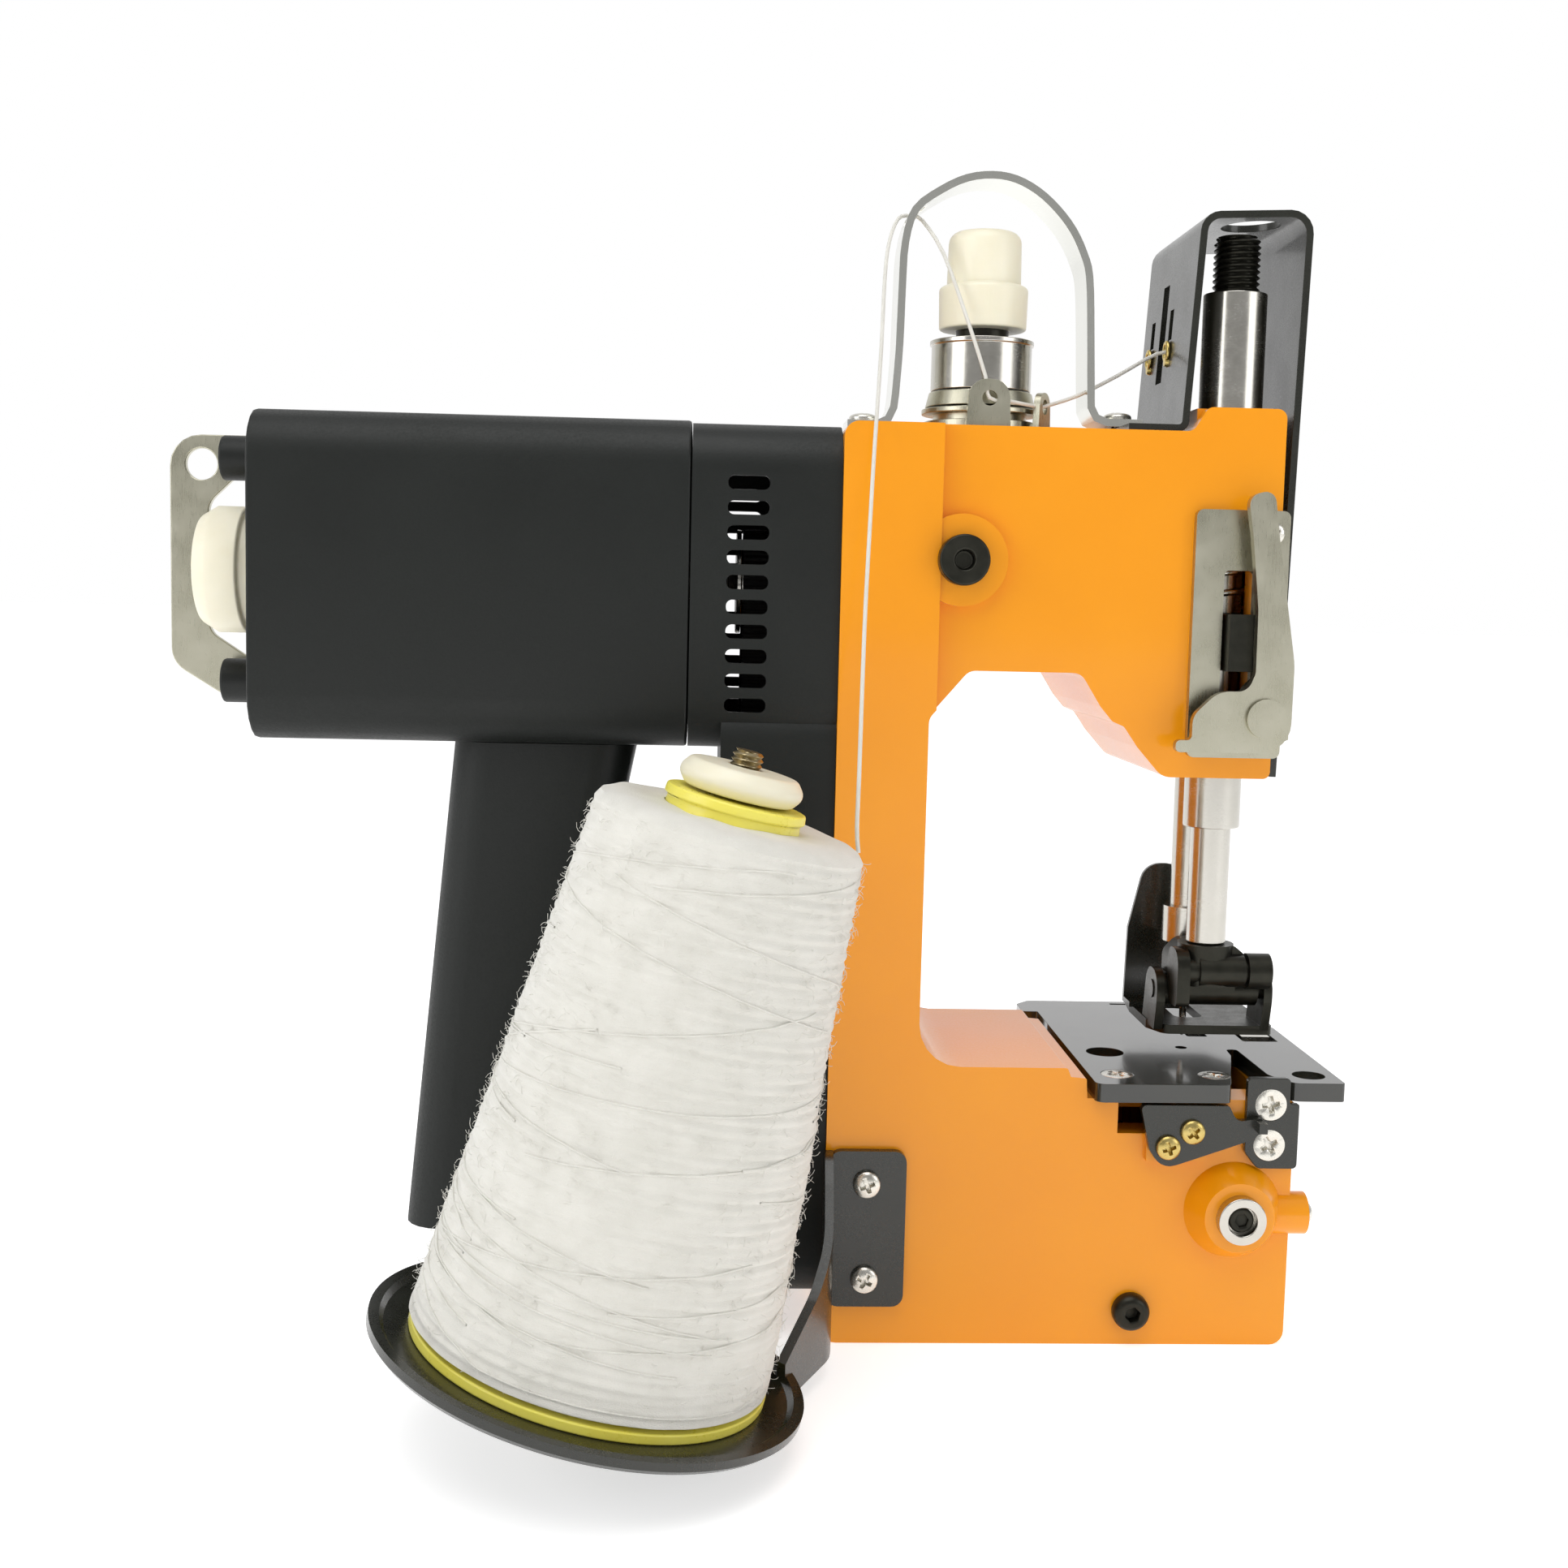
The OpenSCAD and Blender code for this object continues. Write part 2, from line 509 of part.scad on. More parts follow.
module lever_outline() polygon(rounded([
  [32.3, 181, 2.4], [33.7, 172.8, 20], [35.4, 158, 20], [35.5, 145, 3], [34, 141.2, 3], [28, 141.2, 6],
  [22.8, 136, 4], [22.8, 131, 1], [19.5, 131, 1], [19.5, 128.5, 1], [38, 128.6, 8], [43.4, 130.5, 6],
  [43.5, 147, 20], [42, 156, 20], [39.1, 172.8, 20], [37.7, 182.6, 2.2]]));
module lifter_lever() color("silver") difference() {
  union() {
    slab(arm_front - 8.2, arm_front - 6) lever_outline();
    slab(arm_front - 6.01, arm_front - 2.3) intersection() {
      union() {
        translate([lift_x + cam_e * cos(lift_swing / 2), lift_z + cam_e * sin(lift_swing / 2)]) circle(r = cam_r);
        translate([lift_x, lift_z]) circle(r = 3.4);
      }
      translate([34, 128]) square([9.6, 30]);
    }
  }
  rod_y(arm_front - 10, arm_front, 5 + 2 * run, lift_x, lift_z);
}
module foot_shank() color("#222") difference() {
  union() {
    // clamp round the bar, and the barrel that the foot turns on
    slab(presser_y - 3, -6) polygon(rounded([[25.6, 77.4, 1], [42, 77.4, 1], [42, 82.4, 3], [38.4, 85.4, 3], [28.4, 85.4, 3],
      [25.6, 82.4, 3]]));
    rod_z(76.5, 85.4, 12, bar_x, presser_y);
    slab(-12.5, hinge_y + 2.5) polygon([[27.5, hinge_z], [40.5, hinge_z], [40.5, 79], [27.5, 79]]);
    rod_x(25.1, 45.8, 7, hinge_y, hinge_z);
    rod_x(22.6, 49, 4, hinge_y, hinge_z);
    // clamp screw with its two collars and round head
    rod_x(28, 30.6, 5.6, clamp_y, clamp_hz);
    rod_x(30.5, 35.4, 7.3, clamp_y, clamp_hz);
    rod_x(35.3, 40.5, 7, clamp_y, clamp_hz);
    rod_x(40.4, 41.2, 5, clamp_y, clamp_hz);
    rod_x(41.1, 46.1, 7.8, clamp_y, clamp_hz);
    wall(25.4, 28.2) polygon(rounded([[-20.8, 72.2, 1.5], [-14, 72.2, 1], [-12, 78, 1], [-12, 84.6, 3], [-20.8, 84.6, 4]]));
  }
  rod_x(44.6, 48, 3.6, clamp_y, clamp_hz);
}
module foot_ear(x0, x1) wall(x0, x1) difference() {
  polygon(rounded([[hinge_y - 3, foot_z + 1, 0], [hinge_y + 8, foot_z + 1, 0],
                   [hinge_y + 5, hinge_z + 4.6, 4.6], [hinge_y - 5, hinge_z + 4.6, 4.6], [hinge_y - 4.6, hinge_z - 2, 1]]));
  translate([hinge_y, hinge_z]) circle(d = 4 + 2 * run);
}
module presser_foot() color("#222") union() {
  plate(foot_z, foot_z + foot_t) difference() {
    polygon(rounded([[25.2, -12, 2.5], [49.6, -12, 1.5], [49, 12, 2], [44, 22, 3], [24, 22, 3], [22.6, 10, 2], [22.6, -6, 1.5]]));
    polygon(box2(bar_x - 3.2, needle_y - 6, bar_x + 3.2, needle_y + 12, 2));
  }
  foot_ear(22.9, 24.8);
  foot_ear(46.7, 48.6);
}
module finger_guard() color("#2b2b2b") union() {
  slab(12, 13.2) polygon(rounded([[21.6, 67, 0], [33, 67, 0], [35.4, 99, 4.6], [25.4, 99, 4.6], [22, 84, 0]]));
  block([21.6, 6, foot_z + foot_t], [33, 13.2, foot_z + foot_t + 1.2]);
}

// ---- throat plate, feed and looper ----
module throat_plate() color("#1f2022") difference() {
  plate(shoulder, shoulder + plate_t) difference() {
    polygon(rounded([[6.5, -31.3, 2], [35.2, -31, 1.5], [42.6, -5, 3], [43, 0.5, 1], [45.4, 0.5, 1], [45.8, -22, 5],
                     [49.5, -29, 3], [60.6, -29, 1], [60.9, 23, 3], [49, 50, 3], [6, 50, 2], [2.6, 46, 1],
                     [2.6, 37.5, 1], [6.4, 37.5, 0.5]]));
    translate([14.3, -3.1]) circle(d = 8.4);
    translate([54.7, -22]) circle(d = 7);
    polygon(box2(26.5, 46.4, 32, 47.6, 0.3));
    polygon(box2(49.4, 8.6, 57.6, 26, 0.5));
    polygon(box2(37.4, 13, 42.2, 26, 0.5));
    translate([bar_x, needle_y]) circle(d = 2.6);
  }
  for (x = [12.7, 33.8]) translate([x, -22.7, shoulder + plate_t - 2.02]) cylinder(h = 2.1, r1 = 1.72, r2 = 3.6);
}
module feed_dog() color("silver") union() {
  for (t = [[38, 15.2, 3.4, 8], [50.2, 12.5, 6.6, 11]])
    plate(shoulder - 4, shoulder + plate_t + 0.2) translate([t[0], t[1]]) square([t[2], t[3]]);
  block([24.8, 14, shoulder - 7], [57, 22, shoulder - 3.9]);
  block([24.8, 14, 34], [30.4, 22, shoulder - 6.9]);
}
module looper() color("gray") union() {
  rod_y(front - 6.5, 15, 6, loop_x, loop_z);
  rod_y(loop_y - 4, loop_y + 4, 12, loop_x, loop_z);
  slab(loop_y - 2, loop_y + 2) polygon(rounded([[34.5, 30, 0], [40.5, 30, 0], [39.5, 44, 1], [37, 47.5, 1],
    [27.5, 46.6, 0.2], [28, 45.4, 0.2], [35.5, 43, 1]]));
}
module thread_cutter() color("#2a2c2e") union() {
  slab(front - 3.5, front - 1.7) polygon(rounded([[16, 53.6, 1], [18.2, 44, 2], [21, 39.8, 3.8], [25, 41, 2], [39, 45.9, 1],
    [43, 48.4, 1], [42, 51, 0.6], [36.7, 50.2, 2], [34.9, 53.6, 0.6]]));
  block([40.6, front - 6.5, 48.4], [42.4, front - 3.4, 50.6]);
}
module hook_plate() color("#1f2022") difference() {
  slab(front - 1.6, front) polygon(rounded([[39.2, 43, 2], [42, 39.5, 2], [50.6, 39.5, 1], [50.6, 53.6, 0.5],
    [48.5, 53.7, 0.3], [48.5, 59.2, 1], [39.2, 59.2, 1]]));
  for (p = hook_screws) translate([p[0], front - 0.08, p[1]]) rotate([90, 0, 0]) cylinder(h = 1.6, r1 = 1.72, r2 = 3.45);
}

// ---- tension unit and thread guides ----
module tension_discs() color("silver") union() {
  rod_z(arm_top - 6.5, 235, 5, tens_x, tens_y);
  rod_z(arm_top, arm_top + 2, 24, tens_x, tens_y);
  rod_z(arm_top + 3.5, arm_top + 4.6, 25, tens_x, tens_y);
  rod_z(arm_top + 1.9, arm_top + 3.6, 20, tens_x, tens_y);
  translate([tens_x, tens_y, arm_top + 5]) cylinder(h = 3.2, d1 = 23.6, d2 = 22);
  rod_z(arm_top + 4.5, arm_top + 5.1, 14, tens_x, tens_y);
}
module tension_spring() color("gray") {
  pts = [for (i = [0 : 48]) [tens_x + 6 * cos(30 * i), tens_y + 6 * sin(30 * i), 204.6 + 8 * i / 48]];
  sweep(pts, 0.6, 6);
}
module tension_cup() color("silver") difference() {
  union() {
    rod_z(203, 213.6, 21.4, tens_x, tens_y);
    rod_z(212.6, 213.6, 22.2, tens_x, tens_y);
  }
  rod_z(204, 216, 19.6, tens_x, tens_y);
  rod_z(202, 216, 5.4, tens_x, tens_y);
}
module tension_knob() color("ivory") difference() {
  translate([tens_x, tens_y, 0]) rotate_extrude() polygon(rounded([[0, 213.4, 0], [5.6, 213.4, 0.3], [5.6, 216, 0],
    [9.3, 216, 0.5], [9.5, 225, 1], [7.9, 225.1, 0], [7.7, 236.4, 2.4], [0, 236.6, 0]]));
  rod_z(212, 235.4, 5 + 2 * run, tens_x, tens_y);
}
module thread_guide() color("silver") difference() {
  union() {
    slab(tens_y - 14, tens_y - 12.6) polygon(rounded([[-24.3, arm_top, 0], [-15, arm_top, 0], [-15.4, 204.4, 3.8], [-23.8, 204.4, 3.8]]));
    block([-24.3, tens_y - 14, arm_top], [-15, tens_y - 11.8, arm_top + 1.2]);
    right_lug() {
      wall(0, 1.4) polygon(rounded([[-4, arm_top, 0], [4, arm_top, 0], [3.4, 202.6, 3.2], [-3.4, 202.6, 3.2]]));
      block([-0.6, -4, arm_top], [1.4, 4, arm_top + 1.2]);
    }
  }
  rod_y(tens_y - 20, tens_y - 10, 3.2, -19.5, 200.5);
  right_lug() rod_x(-3, 4, 3.2, 0, 199.6);
}
module right_lug() translate([tens_x, tens_y, 0]) rotate([0, 0, -28]) translate([13.2, 0, 0]) children();

strap_line = concat([[-48.4, 195.3], [-42, 195.3], [-39.8, 196.4], [-38.7, 198.8]],
  spline([[-38.4, 201.4], [-37.8, 212], [-37.6, 224], [-37.2, 233], [-35.2, 239.8], [-30, 243.9], [-24.6, 246.5],
    [-19.2, 247.3], [-14.3, 246.6], [-9.6, 244.3], [-5.4, 240.8], [-1.9, 236.6], [0.6, 231.8], [2, 227], [2.7, 216],
    [3.2, 203]], 3),
  [[3.4, 200], [4.6, 197.8], [7, 196.9], [14.6, 196.9]]);
module carry_handle() color("silver") difference() {
  slab(strap_y, strap_y + strap_w) polygon(strip(strap_line, strap_t));
  translate([-35.9, strap_y + 3.4, 238.6]) rotate([0, 70, 0]) cylinder(h = 12, d = 3, center = true);
  rod_z(190, 200, 3.05, -44.6, strap_y + strap_w / 2);
  rod_z(190, 200, 3.05, 10.4, strap_y + strap_w / 2);
}
module needle_guard() color("#1d1e20") difference() {
  slab(-23, 19) polygon(strip(bent([[9.4, arm_top + 0.75, 0], [21.2, arm_top + 0.75, 1.5], [23.6, 238.6, 3.5],
    [45.6, 239.6, 4], [44.6, arm_top, 20], [43.2, 122.8, 0]], 5), 1.5));
  rod_z(235, 245, 12.4, 35.9, presser_y + 1);
  rod_z(arm_top - 2, arm_top + 3, 3.05, 10.4, strap_y + strap_w / 2);
  for (s = [[11, 215.6, 221.4, 3], [1.8, 207, 228, 5], [-5, 215.6, 222, 3]])
    block([15, s[0] - s[3] / 2, s[1]], [30, s[0] + s[3] / 2, s[2]]);
  for (p = eyelet_at) rod_x(15, 30, 2.7, p[0], p[1]);
}
module guard_eyelets() color("goldenrod") for (p = eyelet_at) tube_x(20.2, 24.2, 2.6, 1.6, p[0], p[1]);

// ---- spool ----
module at_spool() translate(spool_at) rotate([0, spool_tilt, 0]) children();
module spool_tray() color("#26261f") union() {
  slab(front - 2, front) polygon(box2(left + 0.6, 8.8, -33, 42.6, 2.5));
  // arm: a sheet that bends from the flange to the tray's rim
  intersection() {
    plate(0, 50) polygon(strip(bent([[-49.5, -28.5, 0], [-50.2, -46, 14], [-60.5, -66, 0]], 6), 1.8));
    wall(-70, -40) polygon(rounded([[front - 0.5, 9, 0], [-46, 4.4, 3], [-67, 3.6, 0], [-67, 11, 0], [-52, 20, 12],
      [-38, 38, 8], [front - 5, 42.4, 3], [front - 0.5, 42.4, 0]]));
  }
  at_spool() rotate_extrude() polygon([[0, 0], [tray_r - 1, 0], [tray_r, 1], [tray_r, 2.6], [tray_r - 2, 2.6],
    [tray_r - 3, tray_t], [0, tray_t]]);
}
module spool_post() color("silver") at_spool() union() {
  rod_z(-2, post_l, post_d, 0, 0);
  rod_z(-3.4, 0, 11, 0, 0);
}
module cone_core() color("gold") at_spool() difference() {
  rotate_extrude() polygon([[0, tray_t], [wind_foot_r - 0.6, tray_t], [wind_foot_r - 0.6, tray_t + 2],
    [wind_foot_r - 6, tray_t + 2.2], [cone_top_r, wind_l + 5.5], [cone_top_r + 0.8, wind_l + 5.7],
    [cone_top_r + 0.6, wind_l + 7.5], [0, wind_l + 7.5]]);
  rotate_extrude() polygon([[0, tray_t - 1], [wind_foot_r - 3, tray_t - 1], [wind_foot_r - 8, tray_t + 3],
    [cone_top_r - 2, wind_l + 5.5], [0, wind_l + 5.5]]);
  rod_z(0, 140, post_d + 0.6, 0, 0);
}
module thread_winding() color("white") at_spool() difference() {
  rotate_extrude() polygon(rounded([[0, 4.2, 0], [wind_foot_r, 4.2, 2], [wind_top_r, wind_l + 2.6, 2], [wind_top_r - 4, wind_l + 4, 2],
    [0, wind_l + 4.4, 0]]));
  rotate_extrude() polygon([[0, 3.5], [wind_foot_r - 6 + 0.2, 3.5], [cone_top_r + 0.15, wind_l + 5.5], [0, wind_l + 5.5]]);
}
module spool_nut() color("ivory") at_spool() difference() {
  rotate_extrude() polygon(rounded([[0, wind_l + 8, 0], [10, wind_l + 8, 1.5], [12, wind_l + 10.6, 2], [10, wind_l + 13.2, 1.5],
    [0, wind_l + 13.6, 0]]));
  rod_z(0, 140, post_d + 2 * run, 0, 0);
}
// Thread: from the spool's top edge through the strap's hole and the front lug, round the tension
// discs, through the right lug and on to the guard's eyelet
thread_route = [[-48.6, -69.3, 111.4], [-48.9, -68.2, 116], [-48.4, -64, 125], [-46.9, -50, 152], [-45.8, -42, 168],
  [-44.5, -34, 187], [-42.9, -26, 209], [-41.8, -18, 225], [-40.6, -13, 233], [-38.6, -10.4, 238.2], [-36, -9.5, 239],
  [-33.4, -10, 238], [-29.2, -14, 230.6], [-24.6, -18.8, 217], [-20.5, -20.3, 205], [-19.5, -20.3, 200.6],
  [-15, -19.8, 200], [-10.6, -17.4, 199.6], [-8, -14.6, 199.6], [-6.4, -13.2, 199.9], [1, -11.2, 202.6],
  [10, -8.2, 207.4], [19, -5.2, 212.6], [24.5, -5, 213.1]];
module thread_line() color("white") {
  sweep(spline(thread_route, 3), 0.4, 8);
}

// ---- hanging plate at the motor end ----
module hang_plate() color("silver") difference() {
  slab(hang_y, hang_y + 2) polygon(rounded([[-197.5, 191.4, 7], [house_l - 0.1, 191.4, 0], [house_l - 0.1, 184.1, 0], [-181, 184.1, 5],
    [-189, 176.4, 5], [-189, 147.7, 4], [-180.6, 142.2, 4], [house_l - 0.1, 142.2, 0], [house_l - 0.1, 133.4, 0],
    [-186, 133.4, 6], [-197.5, 140.5, 6]]));
  rod_y(hang_y - 1, hang_y + 3, 7, -190.5, 184.9);
}

frame_casting();
rear_cover();
cap_screws();
pan_screws();
flat_screws();
cutter_screws();
belt_cover();
housing_front();
housing_rear();
handle_front();
handle_rear();
trigger();
switch_body();
inlet_gland();
stator();
armature();
fan();
motor_pulley();
hand_wheel();
carbon_brushes();
bearing_frames();
drive_belt();
driven_pulley();
main_shaft();
plain_bushes();
connecting_rod();
needle_lever();
lever_pivot_screw();
needle_bar();
needle();
presser_bar();
presser_spring();
spring_sleeve();
pressure_screw();
lift_block();
lifter_plate();
lifter_lever();
presser_foot();
foot_shank();
finger_guard();
throat_plate();
feed_dog();
looper();
thread_cutter();
hook_plate();
tension_discs();
tension_spring();
tension_cup();
tension_knob();
thread_guide();
carry_handle();
needle_guard();
guard_eyelets();
spool_tray();
spool_post();
cone_core();
thread_winding();
spool_nut();
thread_line();
hang_plate();
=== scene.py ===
# %% [markdown]
# # A portable bag closing machine
# This lesson gives a finished look to a machine whose shapes and joints come from a CAD model.
# The CAD model is loaded first, and it is never moved or edited: each cell either assigns a better
# material to a CAD part or makes a detailed piece that stands in front of it.

# %% Load the model
import json
import math
import bmesh
import bpy
from mathutils import Matrix, Vector, noise


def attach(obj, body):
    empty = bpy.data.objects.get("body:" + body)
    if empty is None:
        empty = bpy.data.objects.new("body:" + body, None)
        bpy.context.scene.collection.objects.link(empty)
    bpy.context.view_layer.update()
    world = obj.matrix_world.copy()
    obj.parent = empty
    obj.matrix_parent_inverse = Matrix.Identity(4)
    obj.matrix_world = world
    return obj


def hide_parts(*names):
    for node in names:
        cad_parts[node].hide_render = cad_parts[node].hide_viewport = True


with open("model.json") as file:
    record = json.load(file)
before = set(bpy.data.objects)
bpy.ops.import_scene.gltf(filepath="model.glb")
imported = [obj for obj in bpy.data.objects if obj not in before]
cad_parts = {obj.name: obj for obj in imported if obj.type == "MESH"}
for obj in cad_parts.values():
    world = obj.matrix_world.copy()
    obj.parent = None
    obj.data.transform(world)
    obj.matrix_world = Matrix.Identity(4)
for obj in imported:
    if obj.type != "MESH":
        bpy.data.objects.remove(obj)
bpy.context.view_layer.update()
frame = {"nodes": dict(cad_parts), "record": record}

# %% [markdown]
# ## The camera
# A camera is a place, a direction and a focal length. The lens here is a short telephoto one on a
# square frame, which sees the machine from a little left of its middle and slightly from above.
# The turn is written as three plain rotations, one after the other, so that each can be read.

# %% Camera
MM = 0.001
camera_data = bpy.data.cameras.new("studio_camera")
camera_data.sensor_width = 36
camera_data.lens = 42.857
camera_data.clip_start = 0.01
camera = bpy.data.objects.new("studio_camera", camera_data)
bpy.context.collection.objects.link(camera)
turn = Matrix.Rotation(math.radians(-2.7705), 4, "Z")
turn = turn @ Matrix.Rotation(math.radians(90 - 5.7502), 4, "X")
turn = turn @ Matrix.Rotation(math.radians(1.3475), 4, "Z")
camera.matrix_world = Matrix.Translation((-0.07933, -0.41211, 0.15859)) @ turn
bpy.context.scene.camera = camera
print("camera at", [round(v, 4) for v in camera.location])

# %% [markdown]
# ## The sewing thread
# The thread leaves the top edge of the cone, goes up through a hole in the carrying strap, passes a
# lug and the tension discs, and ends in an eyelet of the needle guard. It could be a mesh, but a
# curve with a round bevel is the simplest thing that has one length and one thickness. The
# tension keeps it straight between its guides, so its points are smoothed only where it turns.

# %% Thread curve
thread_route = [
    (-48.6, -69.3, 111.4), (-48.9, -68.2, 116), (-48.4, -64, 125), (-46.9, -50, 152), (-45.8, -42, 168),
    (-44.5, -34, 187), (-42.9, -26, 209), (-41.8, -18, 225), (-40.6, -13, 233), (-38.6, -10.4, 238.2),
    (-36, -9.5, 239), (-33.4, -10, 238), (-29.2, -14, 230.6), (-24.6, -18.8, 217), (-20.5, -20.3, 205),
    (-19.5, -20.3, 200.6), (-15, -19.8, 200), (-10.6, -17.4, 199.6), (-8, -14.6, 199.6),
    (-6.4, -13.2, 199.9), (1, -11.2, 202.6), (10, -8.2, 207.4), (19, -5.2, 212.6), (24.5, -5, 213.1)]


def smooth_line(points, steps):
    """A Catmull-Rom line through the points, in metres."""
    p = [Vector(q) * MM for q in points]
    line = []
    for i in range(len(p) - 1):
        a, b, c, d = p[max(0, i - 1)], p[i], p[i + 1], p[min(len(p) - 1, i + 2)]
        for s in range(steps):
            t = s / steps
            line.append(b + (c - a) * t / 2 + (2 * a - 5 * b + 4 * c - d) * t * t / 2
                        + (3 * b - a - 3 * c + d) * t ** 3 / 2)
    return line + [p[-1]]


def curve_tube(name, line, radius, resolution=3):
    """A tube mesh that follows one open line."""
    data = bpy.data.curves.new(name, "CURVE")
    data.dimensions = "3D"
    data.bevel_depth = radius
    data.bevel_resolution = resolution
    data.use_fill_caps = True
    spline = data.splines.new("POLY")
    spline.points.add(len(line) - 1)
    for point, place in zip(spline.points, line):
        point.co = (*place, 1)
    guide = bpy.data.objects.new(name + "_guide", data)
    bpy.context.collection.objects.link(guide)
    graph = bpy.context.evaluated_depsgraph_get()
    mesh = bpy.data.meshes.new_from_object(guide.evaluated_get(graph))
    bpy.data.objects.remove(guide)
    mesh.name = name
    for polygon in mesh.polygons:
        polygon.use_smooth = True
    piece = bpy.data.objects.new(name, mesh)
    bpy.context.collection.objects.link(piece)
    return piece


thread_points = smooth_line(thread_route, 3)
sewing_thread = curve_tube("sewing_thread", thread_points, 0.4 * MM)
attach(sewing_thread, "frame")
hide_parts("thread_line")

# %% [markdown]
# ## Floor and light
# The machine stands on a plain white sweep. One large soft box above and in front gives the long
# highlights on the enamel, a second one on the left draws the edges of the black covers, and a weak
# one on the right opens the shadows. The camera sees a white world. Reflections see a grey one that
# grows brighter towards the back, so that flat tops shine at a low angle while upright steel keeps
# its contrast: in an all-white room it would look like paper.

# %% Node helper
def add(tree, kind, sockets=None, **settings):
    """Adds one node. A socket takes a value, or (node, output) to link it."""
    node = tree.nodes.new(kind)
    for name, value in settings.items():
        setattr(node, name, value)
    for name, value in (sockets or {}).items():
        if isinstance(value, tuple) and isinstance(value[0], bpy.types.Node):
            tree.links.new(value[0].outputs[value[1]], node.inputs[name])
        else:
            node.inputs[name].default_value = value
    return node


def colour(code):
    """An sRGB hex value as linear red, green, blue and alpha."""
    parts = [int(code[i:i + 2], 16) / 255 for i in (1, 3, 5)]
    return tuple(c / 12.92 if c <= 0.04045 else ((c + 0.055) / 1.055) ** 2.4 for c in parts) + (1.0,)


print("mid grey is", round(colour("#808080")[0], 4), "in linear light")

# %% Floor, world and lamps
world = bpy.data.worlds.new("studio")
world.use_nodes = True
bpy.context.scene.world = world
sky = world.node_tree
sky.nodes.clear()
place = add(sky, "ShaderNodeTexCoord")
axes = add(sky, "ShaderNodeSeparateXYZ", {"Vector": (place, "Generated")})
lift = add(sky, "ShaderNodeMapRange", {"Value": (axes, "Y"), "From Min": -0.2, "From Max": 0.8,
                                       "To Min": 0.66, "To Max": 1.8})
room = add(sky, "ShaderNodeBackground", {"Color": (lift, "Result"), "Strength": 0.54})
backdrop = add(sky, "ShaderNodeBackground", {"Color": (1, 1, 1, 1), "Strength": 1.0})
ray = add(sky, "ShaderNodeLightPath")
both = add(sky, "ShaderNodeMixShader", {0: (ray, "Is Camera Ray"), 1: (room, 0), 2: (backdrop, 0)})
add(sky, "ShaderNodeOutputWorld", {"Surface": (both, 0)})

paper = bpy.data.materials.new("white_paper_sweep")
paper.use_nodes = True
paper_shader = paper.node_tree.nodes["Principled BSDF"]
fibre = add(paper.node_tree, "ShaderNodeTexNoise", {"Scale": 400.0, "Detail": 3.0})
tone = add(paper.node_tree, "ShaderNodeMapRange", {"Value": (fibre, 0), "To Min": 0.86, "To Max": 0.90})
paper.node_tree.links.new(tone.outputs[0], paper_shader.inputs["Base Color"])
paper_shader.inputs["Roughness"].default_value = 0.85
paper_shader.inputs["Specular IOR Level"].default_value = 0.15
paper_shader.inputs["Emission Color"].default_value = (1, 1, 1, 1)
paper_shader.inputs["Emission Strength"].default_value = 0.55
floor_mesh = bpy.data.meshes.new("floor")
floor_mesh.from_pydata([(-6, -6, 0), (6, -6, 0), (6, 12, 0), (-6, 12, 0)], [], [(0, 1, 2, 3)])
floor_mesh.materials.append(paper)
floor = bpy.data.objects.new("floor", floor_mesh)
bpy.context.collection.objects.link(floor)


def soft_box(name, at, towards, size, watts):
    """A square area lamp that faces a point."""
    data = bpy.data.lights.new(name, "AREA")
    data.size = size
    data.energy = watts
    lamp = bpy.data.objects.new(name, data)
    bpy.context.collection.objects.link(lamp)
    lamp.location = at
    lamp.rotation_euler = (Vector(towards) - Vector(at)).to_track_quat("-Z", "Y").to_euler()
    return lamp


soft_box("top_box", (-0.15, -0.45, 1.15), (-0.03, 0, 0.1), 0.9, 6.2)
soft_box("left_box", (-1.1, -0.55, 0.55), (-0.1, 0, 0.12), 0.7, 4.4)
soft_box("right_box", (0.95, -0.75, 0.5), (0.03, 0, 0.12), 0.6, 2.6)
bpy.context.scene.view_settings.view_transform = "Standard"
# %% [markdown]
# ## Finishes
# Every finish starts from the same few nodes: the place on the part in metres, a slow noise for
# patches that handling and casting leave, and a fine noise for the grain of the surface. Scales are
# worked out from real sizes, so that a 0.4 mm grain stays 0.4 mm on every part. What differs is the
# shader behind it: a metal takes its tint from its base colour, and a paint or a plastic is a
# coloured body under a clear reflection.

# %% Base of a finish
def per_metre(size_mm):
    """The scale of a noise whose features are this many millimetres across."""
    return 1000.0 / size_mm


